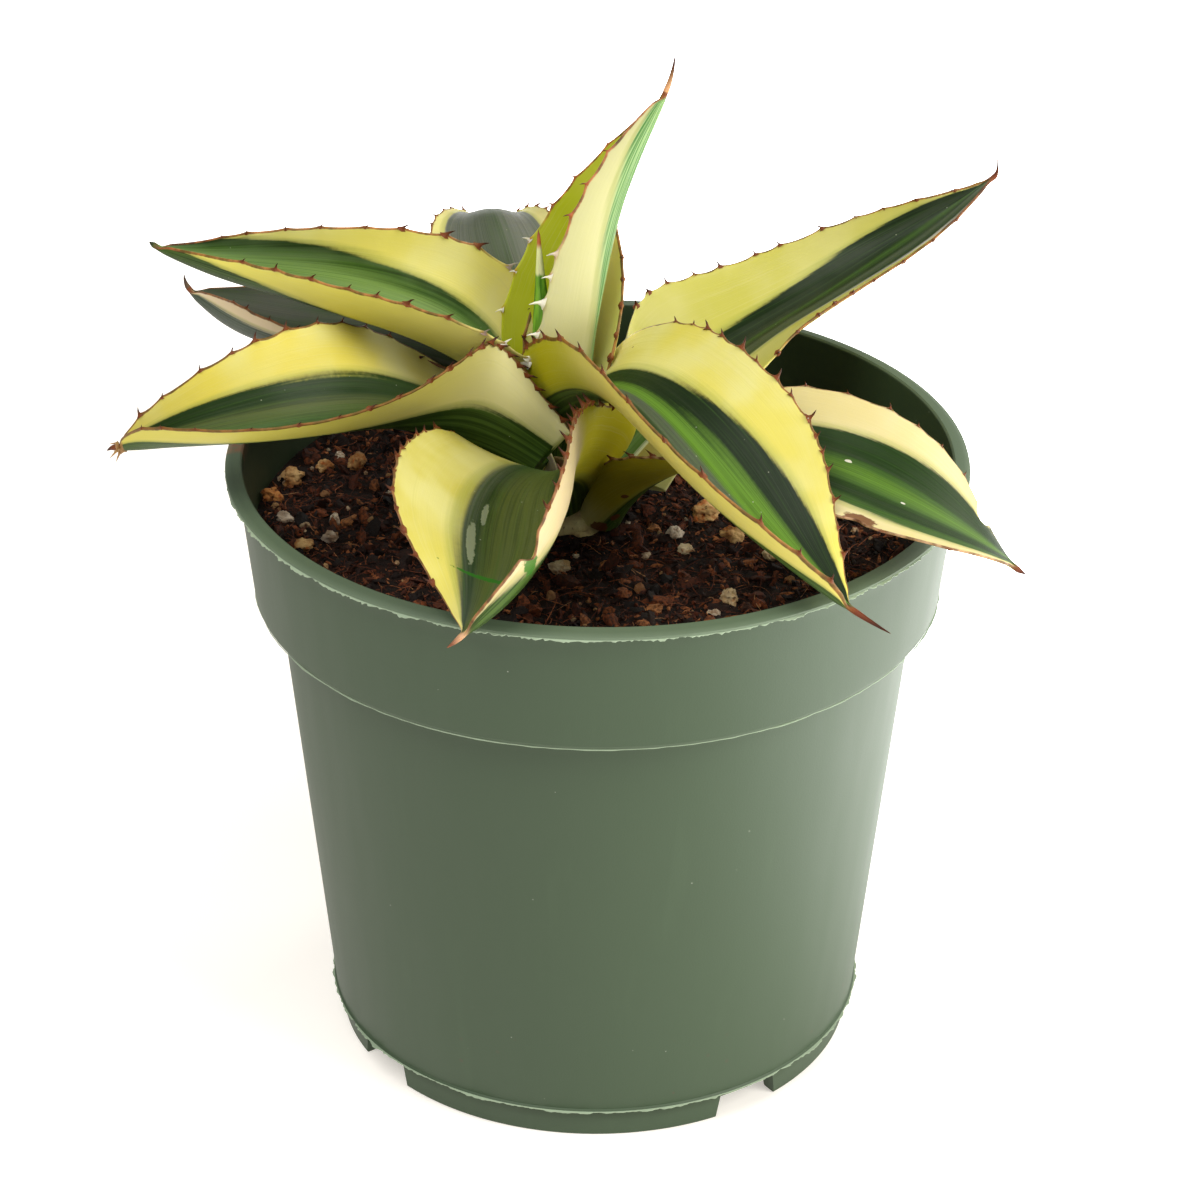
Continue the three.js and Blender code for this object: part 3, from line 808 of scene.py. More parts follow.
# side, out and up place a leaf's foot on the stem; turn is its heading and rise its slope from
# base to tip; roll tips it about its midrib, and fold is the slope of its margins; lean folds the
# left margin more; curl sets how near to the midrib the fold begins. s runs from base to tip, and
# q across the blade from -1 at the right margin to 1 at the left.
# stripe is the green stripe's half share of the width at base, middle and tip, under the same on
# the outer face, and shift and underShift move it towards the left. zones are the stripe's tones
# from right to left. left and right are the margins: size of their teeth at base and tip, mm
# between teeth, share of the length at which they start and end, and the brown edge's width.
# nudges are soft local pushes: s, its span, q, its span, mm. bites are notches in a margin:
# s, span, margin, mm. marks are stains: s, span, q, span, tone, face.
leaves = {
    "leaf_top": {
        "side": 20, "out": 2, "up": 139, "length": 81.5, "width": 39, "spine": 8,
        "turn": (18, 19, 18, 17), "rise": (92, 81, 71, 66), "roll": (-8, 8, -29), "fold": (98, 92, 90),
        "lean": -0.28, "curl": 0.6, "base": 0.8, "widest": 0.28, "taper": 1.6,
        "stripe": (0.2, 0.25, 0.5), "shift": -0.03, "under": (0.07, 0.18, 0.62), "underShift": -0.17,
        "zones": ((0, "mid"), (1, "dark")), "hook": (0.5, 1.4),
        "left": (2.2, 1.2, 7, 0.32, 0.9, 0.26), "right": (3.4, 1.5, 6.2, 0.27, 0.85, 0.34),
        "splay": {-1: (0.9, (-1.8, -0.6, 1))}, "paleTeeth": (0.66, 0.46),
        "nudges": ((0.36, 0.17, -1, 0.6, (2.2, 0, 0)), (0.1, 0.16, -1, 0.9, (2.5, 12.5, -6.9))),
    },
    "leaf_rear_right": {
        "side": 75, "out": 5, "up": 136, "length": 57, "width": 29, "spine": 4,
        "turn": (70, 66, 74, 76), "rise": (87, 73, 69, 70), "roll": (0, -2, 0), "fold": (75, 67, 51),
        "lean": 0, "curl": 0.6, "base": 0.8, "widest": 0.4, "taper": 1.8,
        "stripe": (0.2, 0.25, 0.3), "shift": 0.4, "under": (0.3, 0.35, 0.45), "underShift": 0,
        "zones": ((0, "mid"), (1, "dark")), "hook": (0, 0.6),
        "left": (1.8, 1.4, 6, 0.3, 0.9, 0.3), "right": (2.2, 1.5, 5, 0.3, 0.95, 0.42),
    },
    "leaf_upper_left": {
        "side": 165, "out": 5.6, "up": 139, "length": 97.5, "width": 42, "spine": 1.2,
        "turn": (168, 177, 174, 161), "rise": (63, 30, 10, 24), "roll": (43, -29, 6), "fold": (34, 88, 84),
        "lean": 0.06, "curl": 0.5, "base": 0.64, "widest": 0.35, "taper": 1.8,
        "stripe": (0.24, 0.43, 1.1), "shift": -0.14, "under": (0.16, 0.36, 1.1), "underShift": 0,
        "zones": ((0, "dark"), (0.07, "dark"), (0.15, "mid"), (0.3, "pale"), (0.9, "pale")), "hook": (0, 0.1),
        "left": (2.5, 1.8, 7.2, 0.2, 0.86, 0.28), "right": (2.8, 1.1, 6.6, 0.2, 0.9, 0.2),
        "nudges": ((0.11, 0.12, 0.9, 0.7, (0, 8, -4.4)),),
        "splay": {1: (1.1, (0, -0.3, 0.9))}, "paleTeeth": (0.32, 0.24),
    },
    "leaf_front_right": {
        "side": -90, "out": 4, "up": 136.7, "length": 112, "width": 44.5, "spine": 8.5,
        "turn": (-55, -60, -52, -20), "rise": (92, 12, -22, -28), "roll": (10, 12, 0), "fold": (87, 57, 60),
        "lean": -0.45, "curl": 0.5, "base": 0.75, "widest": 0.6, "taper": 1.8,
        "stripe": (0.34, 0.47, 0.86), "shift": -0.02, "under": (0.52, 0.46, 0.8), "underShift": 0.02,
        "zones": ((0, "dark"), (0.22, "dark"), (0.34, "grey"), (0.46, "grey"), (0.53, "streak"),
                  (0.66, "streak"), (0.75, "deep"), (1, "deep")),
        "hook": (-0.6, 0.8),
        "left": (2.4, 2, 5, 0.3, 0.95, 0.22), "right": (2.6, 2.2, 9, 0.04, 0.94, 0.5), "crowd": 0.34,
        "nudges": ((0.06, 0.13, -0.65, 0.6, (-2.6, 9, -4.8)), (0.82, 0.12, 1, 0.6, (0, -1.9, 1.1))),
        "splay": {-1: (0.34, (-0.5, -0.5, 0.9))},
    },
    "leaf_upper_right": {
        "side": 29, "out": 7.4, "up": 134, "length": 118, "width": 45, "spine": 3.6,
        "turn": (55, 42, 26, 10), "rise": (17, 12, 25, 35), "roll": (45, -13, 53), "fold": (90, 47, 75),
        "lean": 0.44, "curl": 0.6, "base": 0.76, "widest": 0.35, "taper": 1.3,
        "stripe": (0.3, 0.46, 1.1), "shift": -0.1, "under": (0.3, 0.22, 0.3), "underShift": 0,
        "zones": ((0, "white"), (0.1, "dark"), (0.3, "grey"), (0.38, "deep"), (0.5, "mid"), (0.6, "deep"),
                  (1, "deep")),
        "hook": (3.6, 2.6),
        "left": (2.3, 1.5, 7.4, 0.25, 0.95, 0.12), "right": (2, 1.5, 8, 0.35, 0.95, 0.3),
    },
    "leaf_rear_left": {
        "side": 120, "out": 7, "up": 133, "length": 86, "width": 38, "spine": 5,
        "turn": (119, 111, 96, 91), "rise": (69, 33, 2, -38), "roll": (0, -2, 0), "fold": (60, 47, 47),
        "lean": 0, "curl": 0.6, "base": 0.8, "widest": 0.39, "taper": 1.85,
        "stripe": (0.5, 0.72, 0.8), "shift": 0.04, "under": (0.42, 0.46, 0.6), "underShift": 0,
        "zones": ((0, "blueGrey"), (0.35, "blueGrey"), (0.5, "grey"), (1, "blueGrey")), "hook": (0, 0),
        "left": (2.2, 1.5, 5, 0.3, 0.92, 0.2), "right": (2.2, 1.5, 5, 0.3, 0.92, 0.2),
        "nudges": ((0.5, 0.36, 0, 0.65, (0, 0, 9.6)),),
    },
    "leaf_middle_left": {
        "side": 160, "out": 6.8, "up": 133.4, "length": 95, "width": 32.5, "spine": 3,
        "turn": (159, 162, 159, 150), "rise": (84, 11, -3, 41), "roll": (-2, -2, 5), "fold": (57, 43, 86),
        "lean": 0.23, "curl": 0.6, "base": 0.8, "widest": 0.65, "taper": 2.4,
        "stripe": (0.7, 0.86, 0.86), "shift": -0.2, "under": (0.6, 0.7, 0.8), "underShift": 0,
        "zones": ((0, "dark"), (0.3, "grey"), (0.55, "dark"), (0.8, "grey"), (1, "deep")),
        "hook": (-0.4, 1.2),
        "left": (3, 1.2, 7, 0.36, 0.9, 0.22), "right": (1.2, 0.9, 9, 0.3, 0.9, 0.16),
        "nudges": ((0.28, 0.25, 0.9, 0.7, (0, 12.3, -6.7)),),
    },
    "leaf_lower_left": {
        "side": 194, "out": 8.2, "up": 132.4, "length": 100, "width": 45.5, "spine": 2.2,
        "turn": (152, 213, 192, 149), "rise": (27, 21, -3, -16), "roll": (64, -18, -20), "fold": (98, 55, 98),
        "lean": 0.2, "curl": 0.3, "base": 0.59, "widest": 0.25, "taper": 2.6,
        "stripe": (0.62, 0.47, 0.62), "shift": -0.03, "under": (0.5, 0.42, 0.7), "underShift": 0,
        "zones": ((0, "dark"), (0.2, "dark"), (0.34, "olive"), (0.5, "mid"), (0.66, "dark"), (1, "deep")),
        "crowd": 0.4, "hook": (0.4, -0.5),
        "left": (2.7, 1, 6.4, 0.02, 0.92, 0.36), "right": (2.4, 1.8, 7, 0.3, 0.94, 0.24),
        "nudges": ((0.1, 0.28, 0, 9, (0, -9.6, 5.3)), (0.06, 0.12, 1, 0.6, (0.5, -11, 6))),
        "splay": {1: (0.2, (2.2, -1, 0.8))},
        "marks": ((0.985, 0.03, 0, 2, "straw", 0), (0.99, 0.025, 0, 2, "straw", 1),
                  (0.3, 0.1, 0, 0.2, "grey", 0)),
        "shreds": 7,
    },
    "leaf_front_left": {
        "side": -100, "out": 8, "up": 127, "length": 89, "width": 54, "spine": 3.6,
        "turn": (-87, -107, -94, -143), "rise": (70, 15, -5, -29), "roll": (20, -5, 4), "fold": (30, 74, 62),
        "lean": 0.44, "curl": 0.7, "base": 0.6, "widest": 0.65, "taper": 2,
        "stripe": (0.42, 0.44, 0.6), "shift": 0.08, "under": (0.5, 0.4, 1.15), "underShift": -0.1,
        "zones": ((0, "grey"), (0.16, "dark"), (0.3, "olive"), (0.75, "olive"), (0.88, "dark"), (1, "deep")),
        "hook": (0, 0.4),
        "left": (2.8, 2.4, 4.2, 0.06, 0.82, 0.24), "crowd": 1.15, "right": (2.2, 2.1, 4.6, 0.3, 0.95, 0.16),
        "splay": {1: (1.1, (-1.1, -0.5, 0.5))},
        "nudges": ((0.15, 0.1, 1, 0.5, (2.4, 0, 1)), (0.3, 0.15, 1, 0.5, (0, 0, 1.5)),
                   (0, 0.06, 1, 0.6, (-3, 0, 0)), (0.14, 0.1, 1, 0.4, (1.2, -3, 1.6))),
        "bites": ((0.85, 0.02, 1, 3.4),),
        "marks": ((0.72, 0.085, -0.3, 0.045, "scar", 0), (0.6, 0.05, -0.22, 0.03, "scar", 0),
                  (0.832, 0.007, 0.15, 0.75, "fresh", 0), (0.858, 0.016, 0.85, 0.2, "fresh", 1)),
    },
    "leaf_lower_right": {
        "side": -37, "out": 9.9, "up": 123, "length": 115, "width": 34.5, "spine": 2,
        "turn": (-49, -38, -31, -7), "rise": (58, 27, -7, -37), "roll": (0, 21, -14), "fold": (90, 32, 6),
        "lean": -0.32, "curl": 0.65, "base": 0.6, "widest": 0.65, "taper": 2.5,
        "stripe": (0.12, 0.5, 0.8), "shift": -0.04, "under": (0.5, 0.45, 0.6), "underShift": 0.3,
        "zones": ((0, "mid"), (0.1, "mid"), (0.17, "dark"), (0.28, "dark"), (0.38, "mid"), (0.5, "streak"),
                  (0.62, "mid"), (0.7, "dark"), (1, "dark")),
        "hook": (0, 0.2),
        "left": (1.9, 1.4, 7.6, 0.25, 0.86, 0.12), "right": (2, 0.9, 9, 0.1, 0.9, 0.2),
        "nudges": ((0.64, 0.11, -1, 0.6, (0, 2.4, -1.3)),),
        "bites": ((0.9, 0.02, 1, 3.6), (0.73, 0.02, -1, 1.2)),
        "marks": ((0.735, 0.03, -0.95, 0.16, "burnt", 0), (0.01, 0.018, -0.2, 0.14, "burnt", 1),
                  (0.05, 0.012, -0.1, 0.07, "burnt", 1), (0.13, 0.009, -0.3, 0.06, "burnt", 1),
                  (1, 0.1, 0.75, 0.7, "dark", 0),
                  (0.64, 0.008, 0.1, 0.025, "white", 0), (0.77, 0.005, -0.2, 0.02, "white", 0)),
    },
}

blade = {
    "stations": 190, "across": 34, "round": 3, "spineRings": 12,
    "midribBase": 4.4, "midribTip": 1.5, "thinning": 1.4, "margin": 0.55,
    "spineRadius": 0.62, "pointRadius": 0.05, "scallop": 0.5, "wave": 0.35, "waveLength": 21,
}


def along(values, s):
    # the smooth curve through evenly spaced values, at s from 0 to 1
    last = len(values) - 1
    total = 0 * s
    for i, value in enumerate(values):
        weight = 1 + 0 * s
        for j in range(last + 1):
            if j != i:
                weight = weight * (s * last - j) / (i - j)
        total = total + value * weight
    return total


def halfWidth(leaf, s):
    opening = smooth(s, 0, leaf["widest"])
    closing = np.maximum((s - leaf["widest"]) / (1 - leaf["widest"]), 0)
    return leaf["width"] / 2 * (leaf["base"] + (1 - leaf["base"]) * opening) * (1 - closing ** leaf["taper"])


def midrib(leaf, s):
    # points of the midrib and the three directions there, for evenly spaced s
    heading, slope, roll = (np.radians(along(leaf[key], s)) for key in ("turn", "rise", "roll"))
    forward = np.stack([*around(np.cos(slope), heading), np.sin(slope)], 1)
    level = np.stack([-np.sin(heading), np.cos(heading), 0 * heading], 1)
    upright = np.cross(forward, level)
    left = level * np.cos(roll)[:, None] + upright * np.sin(roll)[:, None]
    up = upright * np.cos(roll)[:, None] - level * np.sin(roll)[:, None]
    foot = np.array([*around(leaf["out"], math.radians(leaf["side"])), leaf["up"]]) + (*stemPlace, 0)
    steps = (forward[1:] + forward[:-1]) / 2 * leaf["length"] / (len(s) - 1)
    points = foot + np.concatenate([np.zeros((1, 3)), np.cumsum(steps, 0)])
    return points, forward, left, up


def leaned(left, up, slope):
    # the direction across the blade and the one out of its upper face, where it has a slope
    across = left * np.cos(slope)[..., None] + up * np.sin(slope)[..., None]
    return across, up * np.cos(slope)[..., None] - left * np.sin(slope)[..., None]


def crossSection(leaf, s, q):
    # how far the blade's middle is to the left and up of the midrib, and its slope, for each s and q
    fold = np.radians(along(leaf["fold"], s))[:, None] * (1 + leaf["lean"] * np.sign(q))
    half = halfWidth(leaf, s)[:, None]
    steps = 24
    aside = 0 * fold
    rise = 0 * fold
    for k in range(steps):
        slope = fold * ((k + 0.5) / steps * np.abs(q)) ** leaf["curl"]
        aside = aside + np.cos(slope) * q * half / steps
        rise = rise + np.sin(slope) * np.abs(q) * half / steps
    return aside, rise, np.sign(q) * fold * np.abs(q) ** leaf["curl"]


def nudged(leaf, s, q):
    # the sum of the leaf's soft local pushes on a grid of s and q
    total = np.zeros((len(s), len(q), 3))
    for at, span, across, width, push in leaf.get("nudges", ()):
        weight = np.exp(-((s - at) / span) ** 2)[:, None] * np.exp(-((q - across) / width) ** 2)[None, :]
        total += weight[..., None] * np.array(push)
    return total


def bitten(leaf, s, margin):
    total = 0 * s
    for at, span, side, depth in leaf.get("bites", ()):
        if side == margin:
            total = total + depth * np.clip(1 - np.abs(s - at) / span, 0, 1) ** 0.6
    return total


def toothPlaces(leaf, margin, dice):
    # shares of the length at which one margin carries teeth, with each tooth's size in mm
    baseSize, tipSize, pitch, start, end = leaf["left" if margin > 0 else "right"][:5]
    crowd = leaf.get("crowd", 0.55)
    where = [start]
    while where[-1] < end:
        closer = crowd + (1 - crowd) * smooth(where[-1], 0.1, 0.4)
        where.append(where[-1] + pitch / leaf["length"] * closer * dice.uniform(0.7, 1.3))
    where = np.array(where[:-1])
    sizes = baseSize + (tipSize - baseSize) * smooth(where, 0.05, 0.9)
    return where, sizes * dice.uniform(0.7, 1.15, len(where))


def loopAcross():
    # the ring of points round the blade: (q, height through the thickness, outward bulge, mm to the edge)
    even = np.linspace(-1, 1, blade["across"] + 1)
    q = np.sign(even) * (1 - (1 - np.abs(even)) ** 1.35)
    bends = [math.pi * (i + 1) / (blade["round"] + 1) for i in range(blade["round"])]
    radius = blade["margin"] / 2
    ring = [(value, 1, 0, radius * math.pi / 2) for value in q]
    ring += [(1, math.cos(a), math.sin(a), radius * abs(a - math.pi / 2)) for a in bends]
    ring += [(value, -1, 0, radius * math.pi / 2) for value in q[::-1]]
    ring += [(-1, -math.cos(a), math.sin(a), radius * abs(a - math.pi / 2)) for a in bends]
    return np.array(ring)


def bladeSkin(leaf, teeth):
    s = np.linspace(0, 1, blade["stations"] + 1)
    ring = loopAcross()
    q, through, bulge, edge = ring.T
    points, forward, left, up = midrib(leaf, s)
    aside, rise, slope = crossSection(leaf, s, q)
    tangent, normal = leaned(left[:, None], up[:, None], slope)
    middle = points[:, None] + left[:, None] * aside[..., None] + up[:, None] * rise[..., None]
    thinned = np.minimum(blade["thinning"] * s, 1)
    rib = (blade["midribBase"] + (blade["midribTip"] - blade["midribBase"]) * thinned)[:, None]
    thick = rib + (blade["margin"] - rib) * q * q
    skin = middle + normal * (thick / 2 * through)[..., None] + nudged(leaf, s, q)
    skin += tangent * (np.sign(q) * bulge * blade["margin"] / 2)[:, None]
    halo = np.zeros((len(s), len(q)))
    for margin, (where, sizes) in teeth.items():
        # the margin rises in scallops under the teeth, and is brown round each
        far = np.abs(s[:, None] - where) * leaf["length"]
        crest = (sizes * np.exp(-far / 1.5)).sum(1)[:, None]
        near = np.clip(q * margin, 0, 1)
        reach = blade["scallop"] * crest * near ** 10 - bitten(leaf, s, margin)[:, None] * near ** 6
        skin += tangent * (margin * reach)[..., None]
        halo += np.exp(-(far / 0.9) ** 2).sum(1)[:, None] * near ** 40
    distance = s[:, None] * leaf["length"] / blade["waveLength"]
    waves = wobble(distance + 0 * q, q * 1.1 + 0 * distance, leaf["side"] * 0.37)
    calm = (smooth(s, 0, 0.15) * smooth(s, 1, 0.9))[:, None]
    skin += normal * (blade["wave"] * waves * calm)[..., None]
    return s, ring, skin, points, forward, left, up, halo


def closeEnds(piece):
    activate(piece)
    toEdit("DESELECT", "EDGE")
    bpy.ops.mesh.select_non_manifold()
    bpy.ops.mesh.fill()
    bpy.ops.mesh.select_all(action="SELECT")
    bpy.ops.mesh.normals_make_consistent(inside=False)
    toObject()


def tubeOf(name, rows, paints):
    # a closed tube through rows of points in mm, with paint values for each row and column
    stations, count = rows.shape[:2]
    piece = added(name, "grid", x_subdivisions=count, y_subdivisions=stations - 1, size=2)
    flat = (placesOf(piece)[:, :2] + 1) / 2
    column = np.rint(flat[:, 0] * count).astype(int) % count
    row = np.rint(flat[:, 1] * (stations - 1)).astype(int)
    putPlaces(piece, rows[row, column] * mm)
    for key, values in paints.items():
        paintPoints(piece, key, values[row, column])
    cleanUp(piece, 0.000002, outward=False)
    closeEnds(piece)
    return piece


def leafPiece(name, leaf, teeth):
    s, ring, skin, points, forward, left, up, halo = bladeSkin(leaf, teeth)
    count = len(ring)
    turn = math.pi - (np.arange(count) + 0.5) / count * 2 * math.pi
    circle = np.stack(around(1, turn), 1)
    rounded = points[:, None] + blade["spineRadius"] * (
        left[:, None] * circle[:, :1] + up[:, None] * circle[:, 1:])
    turnRound = smooth(s, 0.965, 1)[:, None, None]
    rows = [skin * (1 - turnRound) + rounded * turnRound]
    shares = np.arange(1, blade["spineRings"] + 1) / blade["spineRings"]
    for t in shares:
        radius = blade["spineRadius"] * (1 - t) ** 0.75 + blade["pointRadius"]
        centre = points[-1] + forward[-1] * leaf["spine"] * t
        centre = centre + (left[-1] * leaf["hook"][0] + up[-1] * leaf["hook"][1]) * t * t
        rows.append([centre + radius * (left[-1] * circle[:, :1] + up[-1] * circle[:, 1:])])
    rows = np.concatenate(rows)
    q, through, bulge, edge = ring.T
    blank = np.zeros((len(rows), count))
    widths = np.concatenate([halfWidth(leaf, s), 0 * shares])
    paints = {
        "along": blank + np.concatenate([s, 1 + shares])[:, None],
        "across": blank + q,
        "under": blank + (1 - through) / 2,
        "edge": (1 - np.abs(q)) * widths[:, None] + edge,
        "halo": np.concatenate([np.clip(halo, 0, 1), blank[len(s):]]),
        "horn": blank,
    }
    return tubeOf(name, rows, paints)


def toothShape():
    # one tooth, 1 long along Z, flattened in Y and hooked towards -X
    tooth = added("tooth", "cone", vertices=6, radius1=0.5, radius2=0.02, depth=1, location=(0, 0, 0.5))
    cutAcross((0.1, 0.25, 0.45, 0.7))
    places = placesOf(tooth)
    height = places[:, 2]
    slimmer = 1 - 0.62 * np.sin(np.pi * np.clip(height * 1.1, 0, 1)) ** 0.8
    places[:, 0] = places[:, 0] * slimmer * 1.1 - 0.42 * height ** 2
    places[:, 1] *= 0.72 * (0.4 + 0.6 * slimmer)
    putPlaces(tooth, places)
    return tooth


def makeTeeth(name, leaf, teeth, dice):
    steps = 400
    fineS = np.linspace(0, 1, steps + 1)
    points, forward, left, up = midrib(leaf, fineS)
    tooth = toothShape()
    shape = placesOf(tooth)
    forms = []
    shares = []
    browns = []                                   # 1 for a brown tooth, 0 for a shred of the dry tip
    for margin, (where, sizes) in teeth.items():
        q = np.array([float(margin)])
        aside, rise, slope = (values[:, 0] for values in crossSection(leaf, fineS, q))
        edge = points + left * aside[:, None] + up * rise[:, None] + nudged(leaf, fineS, q)[:, 0]
        across, normal = leaned(left, up, slope)
        bite = bitten(leaf, fineS, margin)
        run = np.gradient(edge, axis=0)
        reach, push = leaf.get("splay", {}).get(margin, (0, (0, 0, 0)))
        for at, size in zip(where, sizes):
            i = round(at * steps)
            if bite[i] > 0.3:
                continue
            ahead = unit(run[i])
            outward = margin * across[i]
            out = unit(outward - ahead * np.dot(outward, ahead))
            out = out + ahead * dice.normal(-0.12, 0.2) + normal[i] * dice.normal(0.14, 0.16)
            out = unit(out + np.array(push) * smooth(at, reach + 0.05, reach - 0.05))
            thin = unit(np.cross(out, ahead))
            basis = np.stack([np.cross(thin, out), thin, out], 1) * size
            forms.append(shape @ basis.T + edge[i] + outward * (blade["scallop"] * size * 0.6))
            shares.append(at)
            browns.append(1)
    for k in range(leaf.get("shreds", 0)):
        out = unit(forward[-1] + dice.normal(0, 0.5, 3))
        thin = unit(np.cross(out, up[-1]))
        size = dice.uniform(1.8, 4.2)
        basis = np.stack([np.cross(thin, out) * 0.5, thin * 0.5, out], 1) * size
        forms.append(shape @ basis.T + points[-1] - forward[-1] * 1.5 + dice.normal(0, 0.5, 3))
        shares.append(0.99)
        browns.append(0)
    height = shape[:, 2]
    blank = np.zeros(len(height) * len(shares))
    paints = {
        "along": np.repeat(shares, len(height)), "across": blank, "under": blank, "edge": blank + 9,
        "halo": blank, "horn": np.tile(0.3 + 0.7 * height, len(shares)) * np.repeat(browns, len(height)),
    }
    return copiesOf(tooth, name + "Teeth", forms, paints)


veinKinds = (                                     # across, along, seed, detail and roughness of the noise
    (26, 1.6, 0, 3, 0.6), (95, 3, 0, 2, 0.5), (7, 1.4, 7, 2, 0.5))
tones = {
    "dark": (32, 56, 18), "deep": (20, 38, 11), "grey": (84, 94, 72), "streak": (98, 138, 44),
    "mid": (66, 98, 38), "olive": (84, 96, 42), "pale": (124, 156, 84), "blueGrey": (118, 120, 108),
    "straw": (176, 132, 84), "scar": (134, 142, 112), "fresh": (44, 110, 24), "burnt": (112, 60, 34),
    "white": (226, 222, 206),
}
plain = {
    "yellow": (223, 212, 98), "paleYellow": (227, 221, 138), "cream": (228, 225, 170),
    "outerYellow": (218, 204, 92), "outerCream": (230, 224, 164),
    "underDark": (44, 66, 22), "underMid": (74, 100, 40),
    "margin": (146, 88, 46), "marginDark": (84, 46, 26), "horn": (120, 64, 34), "hornTip": (50, 26, 18),
    "bloomTone": (96, 104, 88), "bloom": 0.25, "creamTo": 0.32, "soft": 0.03, "lineFrom": 0.18,
    "outerFrom": (0.57, 0), "young": 0.3, "shade": 0.82,
    "tip": (124, 70, 40), "spineBase": (116, 60, 36), "spineTip": (62, 32, 24),
}
special = {
    "leaf_top": {
        "outerYellow": (206, 204, 150), "outerCream": (214, 212, 168), "underDark": (84, 132, 70),
        "underMid": (158, 190, 128), "bloom": 0.05, "soft": 0.06, "margin": (196, 116, 66),
        # painted light: yellow and paleYellow are a saturated green-yellow standing in for light passing
        # through the leaf
        "spineBase": (214, 164, 118), "creamTo": 0.1, "yellow": (186, 196, 26),
        "paleYellow": (196, 204, 56), "lineFrom": 0.5, "horn": (184, 100, 52),
    },
    "leaf_rear_right": {
        # painted light: every tone is raised and shade is 1 to make up for the shade this leaf stands in
        "yellow": (246, 238, 140), "paleYellow": (248, 240, 160), "outerYellow": (246, 238, 140),
        "outerCream": (248, 240, 160), "shade": 1,
    },
    "leaf_upper_left": {
        "bloom": 0.4, "bloomTone": (112, 138, 92), "lineFrom": 0.26, "young": 0.6,
        "tip": (84, 84, 44), "spineBase": (56, 70, 38), "spineTip": (44, 48, 28),
        "margin": (170, 104, 62), "yellow": (246, 236, 124), "paleYellow": (248, 242, 158),
        "outerYellow": (240, 230, 110),
    },
    "leaf_front_right": {
        "bloom": 0, "lineFrom": 0.02, "young": 0.12, "outerYellow": (228, 216, 112),
        # painted shade: outerCream here is a dark, saturated olive-yellow on the outer face's base
        "outerCream": (192, 186, 24), "outerFrom": (0.42, 0.22),
    },
    "leaf_upper_right": {
        "bloom": 0.2, "lineFrom": 0.3, "yellow": (198, 194, 90), "paleYellow": (208, 204, 120),
    },
    "leaf_rear_left": {
        "bloom": 0.5, "yellow": (214, 204, 130),
    },
    "leaf_middle_left": {
        "bloom": 0.6, "yellow": (222, 206, 152), "paleYellow": (226, 212, 168),
        "underDark": (60, 72, 56), "underMid": (84, 96, 80), "bloomTone": (78, 76, 70),
        "outerYellow": (228, 208, 170), "outerCream": (230, 212, 180), "spineBase": (104, 84, 64),
        "spineTip": (60, 44, 36),
    },
    "leaf_lower_left": {
        "bloom": 0.15, "lineFrom": -1, "margin": (132, 76, 40), "outerYellow": (222, 212, 96),
        "outerCream": (240, 234, 176), "yellow": (226, 212, 92), "cream": (240, 236, 196),
    },
    "leaf_front_left": {
        "bloom": 0.2, "spineBase": (196, 150, 112), "spineTip": (120, 72, 52),
        "tip": (196, 156, 118), "lineFrom": -1, "margin": (150, 96, 62),
        # painted shade: outerCream here is a dark, saturated olive-yellow on the outer face's base
        "outerYellow": (216, 198, 152), "outerCream": (196, 186, 34), "outerFrom": (0.52, 0.4),
        "soft": 0.06, "yellow": (214, 203, 92),
    },
    "leaf_lower_right": {
        "yellow": (222, 208, 146), "paleYellow": (224, 213, 160), "bloom": 0.08,
        # painted shade: outerYellow here is a dark, saturated olive-yellow over the outer face
        "margin": (188, 150, 116), "outerYellow": (176, 164, 30), "outerCream": (208, 200, 130),
        "outerFrom": (0.1, -0.02), "lineFrom": 0,
    },
}


def shareOf(values, s):
    # the curve through three values as a sum on the shader's s
    first, middle, last = values
    bend = 2 * (first + last - 2 * middle)
    slope = last - first - bend
    return first + s * slope + s * s * bend


